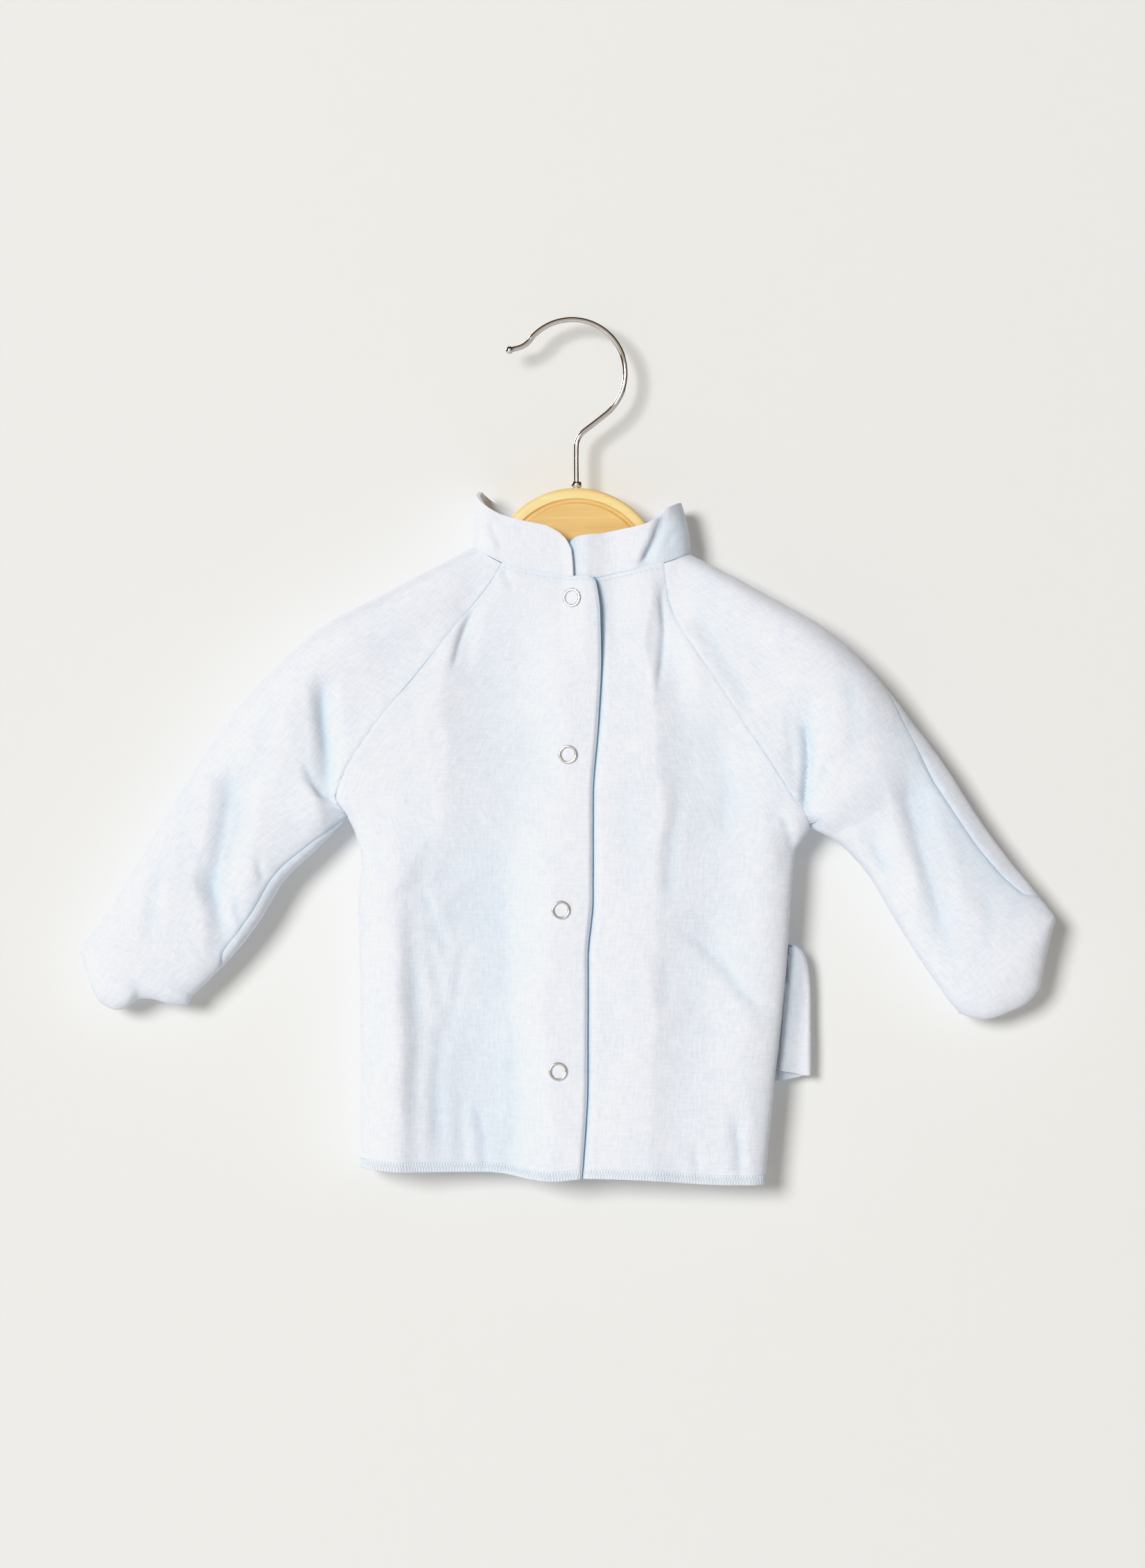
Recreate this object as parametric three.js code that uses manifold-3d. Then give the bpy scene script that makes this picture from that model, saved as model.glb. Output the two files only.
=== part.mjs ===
// A baby's long-sleeved shirt with a stand collar and four ring snaps, on a wooden baby hanger.
// Millimetres. X runs to the wearer's left, Y to the back, Z up. The origin is the inner top of the hook.
// Every cloth piece is a wall of one thickness about a middle surface. The two fronts and the back are
// surfaces y(x, z) over their cut outline. Each sleeve is a row of rings between its ridge and its underarm.

import * as THREE from "three";
import { mergeVertices } from "three/addons/utils/BufferGeometryUtils.js";
import Module from "manifold-3d";

const wasm = await Module();
wasm.setup();

// ---------------------------------------------------------------- driving dimensions

const CLOTH = 1.2; // wall of one layer of brushed jersey
const COLLAR_CLOTH = 2.0; // the collar is two layers
const SEAM_GAP = 0.3; // between sewn pieces
const CENTRE_X = -1; // middle of the chest
const NECK_Z = -122; // where the raglan seams meet the collar
const ARMPIT_Z = { left: -249, right: -254 };
const HEM_Z = { left: -426, middle: -431.5, right: -435 };
const ROUNDNESS = 2.2; // power of the body's flat oval section
const UNDERLAP = 3.4; // how far the under front lies behind the top one
const UNDERLAP_REACH = 20; // how far it runs on past the top front's edge
const SNAP = { diameter: 9.5, band: 1.4, height: 0.9, coupling: 7, couplingHeight: 1.5 };
const HOOK = { wire: 2.6, radius: 27, tip: 1.9, standsAboveWood: 84, intoWood: 10 };
const WIRE_X = 0.4; // where the wire goes down into the plate
const FERRULE = { radius: 2.7, height: 3, stands: 1.8, turn: 120, steps: 4 };
const WOOD = { thick: 10, head: 44, tilt: 0.6, edge: 2.6 };

// Grid of the walls, in cells.
const CAP_ROWS = 12; // neck to armpit
const SKIRT_ROWS = 11; // armpit to hem
const ARM_ROWS = 10; // armpit to the closed end
const END_STEPS = [0.4, 0.75, 1]; // over the closed end
const SLEEVE_COLUMNS = 9;
const SIDE_STEPS = [0.6, 2.4, 6]; // columns close to a side seam, where the cloth turns
const FRONT_COLUMNS = 15;
const BACK_COLUMNS = 18;
const COLLAR_COLUMNS = 56;
const COLLAR_ROWS = 3;

// ---------------------------------------------------------------- tables of the cut

// The body's section at each height: depth to the front and to the back of the hanger's plane, and how far
// past its edge the curve would run before it turned, because the sleeve carries it on.
const BODY = [
  { z: -112, front: 12, back: 10, runLeft: 16, runRight: 12 },
  { z: -122, front: 15, back: 11, runLeft: 30, runRight: 24 },
  { z: -150, front: 17, back: 12, runLeft: 50, runRight: 60 },
  { z: -185, front: 18, back: 13, runLeft: 60, runRight: 62 },
  { z: -215, front: 18, back: 13, runLeft: 38, runRight: 46 },
  { z: -235, front: 17.5, back: 13, runLeft: 14, runRight: 22 },
  { z: -244, front: 17, back: 12.5, runLeft: 3, runRight: 9 },
  { z: -249, front: 17, back: 12.5, runLeft: 0, runRight: 4 },
  { z: -254, front: 16.5, back: 12, runLeft: 0, runRight: 0 },
  { z: -300, front: 15.5, back: 11.5, runLeft: 0, runRight: 0 },
  { z: -440, front: 15, back: 11, runLeft: 0, runRight: 0 },
];

// Raglan seam down to the armpit, then the side seam down to the hem.
const LEFT_EDGE = [
  { z: -122, x: -37 },
  { z: -132, x: -43 },
  { z: -153, x: -60 },
  { z: -178, x: -80 },
  { z: -202, x: -100 },
  { z: -229, x: -117 },
  { z: -241, x: -120.5 },
  { z: -249, x: -115 },
  { z: -258, x: -110.5 },
  { z: -270, x: -107.5 },
  { z: -291, x: -109.5 },
  { z: -331, x: -108.5 },
  { z: -440, x: -108 },
];
const RIGHT_EDGE = [
  { z: -122, x: 44 },
  { z: -138, x: 46 },
  { z: -153, x: 51.5 },
  { z: -166, x: 60 },
  { z: -188, x: 75 },
  { z: -211, x: 90 },
  { z: -237, x: 107 },
  { z: -254, x: 117.5 },
  { z: -260, x: 114 },
  { z: -268, x: 110 },
  { z: -291, x: 108 },
  { z: -331, x: 105 },
  { z: -386, x: 99.5 },
  { z: -440, x: 94.5 },
];

// Free edge of the top front, neck to hem.
const FRONT_EDGE = [
  { z: -129.2, x: 7 },
  { z: -131, x: 8.2 },
  { z: -135, x: 10 },
  { z: -147, x: 11.8 },
  { z: -170, x: 12.2 },
  { z: -201, x: 11 },
  { z: -241, x: 8 },
  { z: -291, x: 8 },
  { z: -321, x: 5.5 },
  { z: -380, x: 5.5 },
  { z: -434, x: 2.5 },
];

// Neck seam and hem, left to right as seen from the front.
const NECK_FRONT = [
  { x: -37, z: -122 },
  { x: -25, z: -125.3 },
  { x: -12, z: -127.7 },
  { x: -1, z: -128.9 },
  { x: 9, z: -129.2 },
  { x: 20, z: -127.2 },
  { x: 32, z: -124.6 },
  { x: 44, z: -122 },
];
const NECK_BACK = [
  { x: -37, z: -122 },
  { x: -15, z: -125 },
  { x: 4, z: -126 },
  { x: 24, z: -125 },
  { x: 44, z: -122 },
];
const HEM = [
  { x: -110, z: -426 },
  { x: -85, z: -428.3 },
  { x: -45, z: -428.6 },
  { x: -12, z: -432.8 },
  { x: 5, z: -431.4 },
  { x: 30, z: -432 },
  { x: 70, z: -434.6 },
  { x: 96, z: -435 },
];

// A table from its columns' names and its rows.
const table = (columns, ...rows) =>
  rows.map((row) => Object.fromEntries(columns.split(" ").map((name, i) => [name, row[i]])));

// Sleeves. along is 0 at the neck, 1 at the armpit and 2 at the closed end. top is the ridge over the arm and
// low the underarm, which down to the armpit is the raglan seam. front and back are how far the cloth stands
// out, and seam and under how many mm the over-arm and underarm seams lie to the front.
const SLEEVES = {
  right: {
    side: "left",
    rows: table(
      "along topX topZ front back seam under lowX lowZ",
      [0, -51.8, -114, 0, 0, 2, 0],
      [0.146, -70, -124, 4, 4, 4, 0],
      [0.346, -100, -139.5, 5.5, 6, 4, 0],
      [0.528, -130, -156, 6.5, 7, 0, 0],
      [0.748, -155, -178, 8, 8, -3, 0],
      [0.906, -172, -197, 10, 9, -5, 0],
      [1, -181, -209, 12, 10.5, -6, 0],
      [1.2, -192, -226, 13, 11.5, -6, 4, -131, -265.5],
      [1.4, -207, -250, 13.5, 12, -6, 7, -147.5, -281.5],
      [1.6, -221, -273, 13.5, 12, -5, 7, -160, -302],
      [1.8, -235, -297, 12.5, 11.5, -3, 5, -176, -322],
      [2, -248.5, -315, 11, 10, 0, 0, -194, -340],
    ),
    // Bulge of the closed end past its last ring, from the ridge (0) to the underarm (1).
    end: [
      { share: 0, out: 3 },
      { share: 0.13, out: 12 },
      { share: 0.28, out: 19.5 },
      { share: 0.41, out: 21.6 },
      { share: 0.51, out: 20.6 },
      { share: 0.6, out: 12 },
      { share: 0.72, out: 9.4 },
      { share: 0.86, out: 8 },
      { share: 1, out: 4.6 },
    ],
    outward: -1,
  },
  left: {
    side: "right",
    rows: table(
      "along topX topZ front back seam under lowX lowZ",
      [0, 57, -117.5, 0, 0, 1, 0],
      [0.114, 75, -127, 4, 4, 2, 0],
      [0.258, 100, -141, 5.5, 6, 2, 0],
      [0.443, 125, -155, 6.5, 7, 1, 0],
      [0.621, 145, -172.5, 7, 8, 3, 0],
      [0.83, 163, -194, 8, 7, 7, 0],
      [1, 178, -214, 12, 10.5, 8, 0],
      [1.2, 192, -234, 13, 11.5, 8, -4, 132, -262],
      [1.4, 206.5, -256, 13.5, 12, 8, -6, 147, -278],
      [1.6, 219.5, -273.5, 13.5, 12, 7, -6, 160, -299],
      [1.8, 231, -287.5, 12.5, 11.5, 4, -4, 174, -321],
      [2, 240.5, -299.5, 11, 10, 0, 0, 189, -343],
    ),
    end: [
      { share: 0, out: 2 },
      { share: 0.15, out: 6 },
      { share: 0.3, out: 13 },
      { share: 0.45, out: 20.5 },
      { share: 0.56, out: 21 },
      { share: 0.7, out: 18 },
      { share: 0.85, out: 15 },
      { share: 0.94, out: 12 },
      { share: 1, out: 7 },
    ],
    outward: 1,
  },
};

// Stand of the collar along its seam, from the wearer's right front end round the back to the left one.
// leanX and leanY carry the top edge sideways and to the back.
const COLLAR = [
  { share: 0, height: 13.5, leanX: -1, leanY: 1 },
  { share: 0.012, height: 18.5, leanX: -0.8, leanY: 1 },
  { share: 0.03, height: 21.6, leanX: -0.5, leanY: 1 },
  { share: 0.06, height: 23.8, leanX: 0, leanY: 1 },
  { share: 0.11, height: 24.6, leanX: -1, leanY: 1 },
  { share: 0.16, height: 27.7, leanX: -2.5, leanY: 1.5 },
  { share: 0.2, height: 28, leanX: 0.5, leanY: 1.5 },
  { share: 0.235, height: 27.5, leanX: 4.6, leanY: 0 },
  { share: 0.3, height: 28, leanX: 0, leanY: -1 },
  { share: 0.36, height: 24, leanX: 0, leanY: -1.5 },
  { share: 0.48, height: 22.5, leanX: 0, leanY: -1.5 },
  { share: 0.6, height: 22.8, leanX: 0, leanY: -1.5 },
  { share: 0.657, height: 25, leanX: -1, leanY: -1 },
  { share: 0.723, height: 25.3, leanX: -4.6, leanY: 0 },
  { share: 0.76, height: 26.3, leanX: -4, leanY: 1.5 },
  { share: 0.8, height: 26.4, leanX: -1.5, leanY: 1.5 },
  { share: 0.825, height: 23, leanX: 0, leanY: 0.5 },
  { share: 0.86, height: 21, leanX: 0, leanY: 0.5 },
  { share: 0.95, height: 21.3, leanX: 0, leanY: 1 },
  { share: 0.975, height: 20.4, leanX: 0, leanY: 1 },
  { share: 0.99, height: 18.5, leanX: 0, leanY: 1 },
  { share: 1, height: 15, leanX: 0, leanY: 1 },
];

const SNAPS = [
  { x: -1.9, z: -140 },
  { x: -4, z: -218.5 },
  { x: -7.5, z: -296.5 },
  { x: -9, z: -377.5 },
];

// The largest folds. Each is a soft trough along a straight line. A depth below 0 is a ridge.
const FRONT_FOLDS = [
  { fromX: -72, fromZ: -440, toX: -66, toZ: -290, width: 17, depth: 4.2 },
  { fromX: -100, fromZ: -440, toX: -98, toZ: -290, width: 9, depth: -1.6 },
  { fromX: -31, fromZ: -440, toX: -33, toZ: -335, width: 6, depth: 2.4 },
  { fromX: -42, fromZ: -440, toX: -42, toZ: -330, width: 7, depth: -1.2 },
  { fromX: -55, fromZ: -195, toX: -48, toZ: -300, width: 17, depth: 2.6 },
  { fromX: -92, fromZ: -294, toX: -64, toZ: -268, width: 7, depth: 2 },
  { fromX: -46, fromZ: -137, toX: -59, toZ: -176, width: 5.5, depth: 2.6 },
  { fromX: 44, fromZ: -130, toX: 41, toZ: -190, width: 6, depth: 4 },
  { fromX: 44, fromZ: -200, toX: 51, toZ: -360, width: 15, depth: 3.2 },
  { fromX: 86, fromZ: -440, toX: 88, toZ: -290, width: 11, depth: -1.6 },
  { fromX: 56, fromZ: -298, toX: 99, toZ: -354, width: 7, depth: 1.8 },
];
const BACK_FOLDS = [
  { fromX: -70, fromZ: -440, toX: -62, toZ: -250, width: 16, depth: 3 },
  { fromX: 8, fromZ: -440, toX: 2, toZ: -210, width: 20, depth: 2.6 },
  { fromX: 66, fromZ: -440, toX: 58, toZ: -260, width: 14, depth: 2.8 },
  { fromX: -52, fromZ: -150, toX: -84, toZ: -205, width: 8, depth: 2 },
  { fromX: 50, fromZ: -150, toX: 74, toZ: -205, width: 8, depth: 2 },
];
const SLEEVE_FOLDS = {
  right: {
    front: [
      { fromX: -129, fromZ: -160, toX: -124, toZ: -236, width: 8, depth: 5 },
      { fromX: -171, fromZ: -208, toX: -184, toZ: -288, width: 9, depth: 4.4 },
      { fromX: -184, fromZ: -276, toX: -178, toZ: -320, width: 7, depth: 2.6 },
    ],
    back: [
      { fromX: -132, fromZ: -165, toX: -128, toZ: -232, width: 9, depth: 4 },
      { fromX: -176, fromZ: -215, toX: -190, toZ: -305, width: 9, depth: 3.4 },
    ],
  },
  left: {
    front: [
      { fromX: 113, fromZ: -182, toX: 117, toZ: -236, width: 8, depth: 4.6 },
      { fromX: 164, fromZ: -218, toX: 190, toZ: -324, width: 10, depth: 3.6 },
      { fromX: 146, fromZ: -254, toX: 160, toZ: -286, width: 7, depth: 2 },
    ],
    back: [
      { fromX: 118, fromZ: -180, toX: 120, toZ: -236, width: 9, depth: 3.6 },
      { fromX: 170, fromZ: -222, toX: 196, toZ: -318, width: 10, depth: 3 },
    ],
  },
};
const COLLAR_FOLD = { fromX: 42, fromZ: -98, toX: 35, toZ: -124, width: 4, depth: 3.4 };

// ---------------------------------------------------------------- small mathematics

const mix = (a, b, t) => a + (b - a) * t;
const clamp01 = (t) => Math.min(1, Math.max(0, t));
const smooth = (t) => clamp01(t) ** 2 * (3 - 2 * clamp01(t));

// Value of one column of a table at a place along another, on a smooth curve through the rows.
function at(rows, by, place, column) {
  const sign = rows.at(-1)[by] > rows[0][by] ? 1 : -1;
  const last = rows.length - 1;
  let i = 0;
  while (i < last - 1 && sign * (place - rows[i + 1][by]) > 0) i += 1;
  const slope = (a, b) => (rows[b][column] - rows[a][column]) / (rows[b][by] - rows[a][by]);
  const tangent = (k) => {
    if (k === 0) return slope(0, 1);
    if (k === last) return slope(last - 1, last);
    const before = slope(k - 1, k);
    const after = slope(k, k + 1);
    return before * after > 0 ? (2 * before * after) / (before + after) : 0;
  };
  const span = rows[i + 1][by] - rows[i][by];
  const t = clamp01((place - rows[i][by]) / span);
  const h = t * t * (3 - 2 * t);
  return (
    mix(rows[i][column], rows[i + 1][column], h) +
    span * (t * (1 - t) * (1 - t) * tangent(i) - t * t * (1 - t) * tangent(i + 1))
  );
}

// Depth of a set of folds at (x, z): across, each falls off as a bell, and its ends fade out.
function foldDepth(folds, x, z) {
  let sum = 0;
  for (const f of folds) {
    const dx = f.toX - f.fromX;
    const dz = f.toZ - f.fromZ;
    const long = Math.hypot(dx, dz);
    const share = ((x - f.fromX) * dx + (z - f.fromZ) * dz) / long ** 2;
    const across = ((x - f.fromX) * dz - (z - f.fromZ) * dx) / long;
    const ends = smooth(share * 4 + 0.4) * smooth((1 - share) * 4 + 0.4);
    sum += f.depth * Math.exp(-((across / f.width) ** 2) * 2.5) * ends;
  }
  return sum;
}

// ---------------------------------------------------------------- body surfaces

const edgeX = (side, z) => at(side === "left" ? LEFT_EDGE : RIGHT_EDGE, "z", z, "x");

// Share of the full depth that the flat oval section has at x.
function oval(x, z) {
  const side = x < CENTRE_X ? "left" : "right";
  const run = at(BODY, "z", z, side === "left" ? "runLeft" : "runRight");
  const reach = Math.abs(edgeX(side, z) - CENTRE_X) + run;
  const out = Math.min(1, Math.abs(x - CENTRE_X) / reach);
  return (1 - out ** ROUNDNESS) ** (1 / ROUNDNESS);
}

// Folds fade out at the silhouette, where there is no depth for them.
const frontY = (x, z) => {
  const full = oval(x, z);
  return -at(BODY, "z", z, "front") * full + foldDepth(FRONT_FOLDS, x, z) * smooth(full * 1.6);
};
const backY = (x, z) => {
  const full = oval(x, z);
  return at(BODY, "z", z, "back") * full - foldDepth(BACK_FOLDS, x, z) * smooth(full * 1.6);
};

// The top front's edge stands forward near the neck, where nothing holds it down above the first snap: the
// cloth leans forward between two lines down the front, and lies flat again below.
const LIFT = { fromX: -6.5, toX: 4.5, slope: 0.42, softness: 1.5, flatZ: -182, over: 36 };
function liftY(x, z) {
  const rise = (t) => Math.log1p(Math.exp(t * LIFT.softness)) / LIFT.softness;
  return -LIFT.slope * (rise(x - LIFT.fromX) - rise(x - LIFT.toX)) * smooth((z - LIFT.flatZ) / LIFT.over);
}
const topY = (x, z) => frontY(x, z) + liftY(x, z);
// The under front comes up to the plain surface once it is clear of the top front's edge.
const UNDER = { behindToX: 12, over: 26, liftToX: 3, liftOver: 18 };
const underY = (x, z) => {
  const behind = 1 - smooth((x - UNDER.behindToX) / UNDER.over);
  const lift = liftY(x, z) * (1 - smooth((x - UNDER.liftToX) / UNDER.liftOver));
  return frontY(x, z) + UNDERLAP * behind + lift;
};

// ---------------------------------------------------------------- walls

// A closed wall about a grid of points, moved out and in along the grid's normals. keep is a rule that holds
// a corner on its own side of a seam.
function wall(grid, normals, thickness, keep = (p) => p) {
  const rows = grid.length;
  const columns = grid[0].length;
  const positions = [];
  for (const sign of [1, -1]) {
    for (let r = 0; r < rows; r += 1) {
      for (let c = 0; c < columns; c += 1) {
        const half = (sign * thickness) / 2;
        const corner = grid[r][c].clone().addScaledVector(normals[r][c], half);
        positions.push(...keep(corner, r).toArray());
      }
    }
  }
  const index = [];
  const id = (layer, r, c) => layer * rows * columns + r * columns + c;
  const quad = (a, b, c, d) => index.push(a, b, c, a, c, d);
  for (let r = 0; r < rows - 1; r += 1) {
    for (let c = 0; c < columns - 1; c += 1) {
      quad(id(0, r, c), id(0, r + 1, c), id(0, r + 1, c + 1), id(0, r, c + 1));
      quad(id(1, r, c), id(1, r, c + 1), id(1, r + 1, c + 1), id(1, r + 1, c));
    }
  }
  for (let r = 0; r < rows - 1; r += 1) {
    quad(id(0, r, 0), id(1, r, 0), id(1, r + 1, 0), id(0, r + 1, 0));
    quad(id(0, r, columns - 1), id(0, r + 1, columns - 1), id(1, r + 1, columns - 1), id(1, r, columns - 1));
  }
  for (let c = 0; c < columns - 1; c += 1) {
    quad(id(0, 0, c), id(0, 0, c + 1), id(1, 0, c + 1), id(1, 0, c));
    quad(id(0, rows - 1, c), id(1, rows - 1, c), id(1, rows - 1, c + 1), id(0, rows - 1, c + 1));
  }
  const geometry = new THREE.BufferGeometry();
  geometry.setAttribute("position", new THREE.Float32BufferAttribute(positions, 3));
  geometry.setIndex(index);
  return geometry;
}

// Normals of a grid from its neighbours, pointing the way its columns cross its rows.
function gridNormals(grid) {
  const last = grid.length - 1;
  const end = grid[0].length - 1;
  return grid.map((row, r) =>
    row.map((_, c) => {
      const along = grid[Math.min(r + 1, last)][c].clone().sub(grid[Math.max(r - 1, 0)][c]);
      const across = row[Math.min(c + 1, end)].clone().sub(row[Math.max(c - 1, 0)]);
      return along.cross(across).normalize();
    }),
  );
}

// Normal that the body and the sleeve share along a raglan seam, so that their edges lie face to face.
function raglanNormal(sleeve, face, along) {
  const { side } = sleeve;
  const z = mix(NECK_Z, ARMPIT_Z[side], along);
  const x = edgeX(side, z) + (side === "left" ? 1.5 : -1.5);
  const y = face > 0 ? frontY : backY;
  const slopeX = y(x + 0.5, z) - y(x - 0.5, z);
  const slopeZ = y(x, z + 0.5) - y(x, z - 0.5);
  const body = new THREE.Vector3(slopeX, -1, slopeZ).normalize().multiplyScalar(face);
  return body.add(sleeveNormal(sleeve, along, face * 0.985)).normalize();
}

// Rows of a body panel by their height share: 0 is the neck, 1 the armpit and 2 the hem.
const ROW_SHARES = [
  ...Array.from({ length: CAP_ROWS + 1 }, (_, i) => i / CAP_ROWS),
  ...Array.from({ length: SKIRT_ROWS }, (_, i) => 1 + (i + 1) / SKIRT_ROWS),
];

function levels(neck, armpit, hem) {
  return (share) => (share < 1 ? mix(neck, armpit, share) : mix(armpit, hem, share - 1));
}

// Half the gap of a raglan seam. At the armpit the walls' outer sides meet, so it opens by their thickness.
const raglanGap = (share) => (share > 1 ? 0 : 0.6 * SEAM_GAP + 0.8 * CLOTH * smooth((share - 0.86) * 7));

// Sewn edge of the body, moved in from the seam line by half its gap.
function sewnEdge(side) {
  const level = levels(NECK_Z, ARMPIT_Z[side], HEM_Z[side]);
  const inward = side === "left" ? 1 : -1;
  return (share) => {
    const z = level(share);
    const slope = (edgeX(side, z + 1) - edgeX(side, z - 1)) / 2;
    return { x: edgeX(side, z) + inward * raglanGap(share) * Math.hypot(1, share < 1 ? slope : 0), z };
  };
}

function columnShares(width, count, sideAtStart, sideAtEnd) {
  const head = sideAtStart ? SIDE_STEPS.map((s) => s / width) : [];
  const tail = sideAtEnd ? SIDE_STEPS.map((s) => 1 - s / width).reverse() : [];
  const from = head.at(-1) ?? 0;
  const to = tail[0] ?? 1;
  const middle = Array.from({ length: count - 1 }, (_, i) => mix(from, to, (i + 1) / count));
  return [0, ...head, ...middle, ...tail, 1];
}

// A body panel between two long edges. Each edge is a rule from a height share to a point of the cut, and
// outward is the side of the hanger's plane that the panel lies on.
function panel({ start, end, neck, y, columns, outward, sideSeams }) {
  const topStart = start(0);
  const topEnd = end(0);
  const hemStart = start(2);
  const hemEnd = end(2);
  const grid = ROW_SHARES.map((share) => {
    const a = start(share);
    const b = end(share);
    const width = Math.abs(b.x - a.x);
    return columnShares(width, columns, sideSeams.start, sideSeams.end).map((u) => {
      const x = mix(a.x, b.x, u);
      const neckSag = at(neck, "x", mix(topStart.x, topEnd.x, u), "z") - mix(topStart.z, topEnd.z, u);
      const hemSag = at(HEM, "x", mix(hemStart.x, hemEnd.x, u), "z") - mix(hemStart.z, hemEnd.z, u);
      const upper = (1 - smooth(share)) * neckSag;
      const lower = smooth(share - 1) * hemSag;
      const z = mix(a.z, b.z, u) + upper + lower;
      return new THREE.Vector3(x, y(x, z), z);
    });
  });
  const seamY = (outward * SEAM_GAP) / 2;
  const normals = gridNormals(grid);
  grid.forEach((row, r) => {
    for (const [c, sleeve] of [[0, sideSeams.start], [row.length - 1, sideSeams.end]]) {
      if (!sleeve) continue;
      if (ROW_SHARES[r] < 1) {
        normals[r][c] = raglanNormal(sleeve, -outward, ROW_SHARES[r]);
      } else {
        row[c].y = seamY;
        normals[r][c].setY(0).normalize();
      }
    }
  });
  const keep = (p) => {
    p.y = outward < 0 ? Math.min(p.y, seamY) : Math.max(p.y, seamY);
    return p;
  };
  return wall(grid, normals, CLOTH, keep);
}

const frontEdge = (share) => {
  const z = levels(-129.2, -252, HEM_Z.middle)(share);
  return { x: at(FRONT_EDGE, "z", z, "x"), z };
};
const underEdge = (share) => {
  const edge = frontEdge(share);
  return { x: edge.x - UNDERLAP_REACH, z: edge.z };
};

const frontRight = () =>
  panel({
    start: sewnEdge("left"),
    end: frontEdge,
    neck: NECK_FRONT,
    y: topY,
    columns: FRONT_COLUMNS,
    outward: -1,
    sideSeams: { start: SLEEVES.right },
  });
const frontLeft = () =>
  panel({
    start: underEdge,
    end: sewnEdge("right"),
    neck: NECK_FRONT,
    y: underY,
    columns: FRONT_COLUMNS,
    outward: -1,
    sideSeams: { end: SLEEVES.left },
  });
const backPanel = () =>
  panel({
    start: sewnEdge("right"),
    end: sewnEdge("left"),
    neck: NECK_BACK,
    y: backY,
    columns: BACK_COLUMNS,
    outward: 1,
    sideSeams: { start: SLEEVES.left, end: SLEEVES.right },
  });

// ---------------------------------------------------------------- sleeves

// Ring of a sleeve at a place along it. turn is 0 on the ridge, and 1 or -1 at the underarm, by the front or
// by the back.
function sleevePoint(sleeve, along, turn) {
  const { side, rows, end, outward } = sleeve;
  const place = Math.min(along, 2);
  const past = Math.max(0, along - 2); // 0 to 1 over the closed end
  const wrapped = turn > 1 ? turn - 2 : turn < -1 ? turn + 2 : turn;
  const q = Math.abs(wrapped);
  const face = wrapped >= 0 ? -1 : 1;
  const topX = at(rows, "along", place, "topX");
  const topZ = at(rows, "along", place, "topZ");
  const armpit = { along: 1, lowX: edgeX(side, ARMPIT_Z[side]), lowZ: ARMPIT_Z[side] };
  const arm = [armpit, ...rows.filter((r) => r.along > 1)];
  const lowZ = place < 1 ? mix(NECK_Z, ARMPIT_Z[side], place) : at(arm, "along", place, "lowZ");
  const lowX = place < 1 ? edgeX(side, lowZ) : at(arm, "along", place, "lowX");
  const tube = smooth((place - 0.6) / 0.4);
  const share = mix(1 - Math.cos((Math.PI * q) / 2), (1 - Math.cos(Math.PI * q)) / 2, tube);
  const chordX = lowX - topX;
  const chordZ = lowZ - topZ;
  const bulge = past > 0 ? (at(end, "share", share, "out") * past) / Math.hypot(chordX, chordZ) : 0;
  const x = topX + chordX * share - outward * chordZ * bulge;
  const z = topZ + chordZ * share + outward * chordX * bulge;
  const seamY = place < 1 ? Math.abs(face < 0 ? frontY(lowX, lowZ) : backY(lowX, lowZ)) : 0;
  const bow = Math.sin(Math.PI * q);
  const close = Math.sqrt(Math.max(0, 1 - past * past));
  const folds = SLEEVE_FOLDS[side === "left" ? "right" : "left"][face < 0 ? "front" : "back"];
  const fold = foldDepth(folds, x, z) * smooth(bow * 1.5);
  const stand = at(rows, "along", place, face < 0 ? "front" : "back");
  const depth = seamY * Math.sin((Math.PI * q) / 2) + (stand * bow - fold) * close;
  return new THREE.Vector3(x, face * Math.max(depth, 0), z);
}

// Outward normal of a sleeve. limit keeps the turns that it compares on one side of a seam.
function sleeveNormal(sleeve, along, turn, limit = (t) => t) {
  const across = sleevePoint(sleeve, along, limit(turn + 0.006));
  across.sub(sleevePoint(sleeve, along, limit(turn - 0.006)));
  const ahead = sleevePoint(sleeve, Math.min(along + 0.01, 2.9995), turn);
  const behind = sleevePoint(sleeve, Math.max(Math.min(along - 0.01, 2.98), 0), turn);
  const normal = across.cross(ahead.sub(behind)).normalize();
  const middle = sleevePoint(sleeve, along, 0).add(sleevePoint(sleeve, along, 1)).multiplyScalar(0.5);
  const outwards = sleevePoint(sleeve, along, turn).sub(middle.setY(0));
  return normal.dot(outwards) < 0 ? normal.negate() : normal;
}

// The turn that lies a distance in mm along the ring from another.
function turnAway(sleeve, along, from, distance) {
  const step = 0.01 * Math.sign(distance || 1);
  let turn = from;
  let left = Math.abs(distance);
  let here = sleevePoint(sleeve, along, turn);
  while (left > 0) {
    const next = sleevePoint(sleeve, along, turn + step);
    const moved = next.distanceTo(here);
    if (moved >= left) return turn + (step * left) / moved;
    left -= moved;
    turn += step;
    here = next;
  }
  return turn;
}

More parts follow.
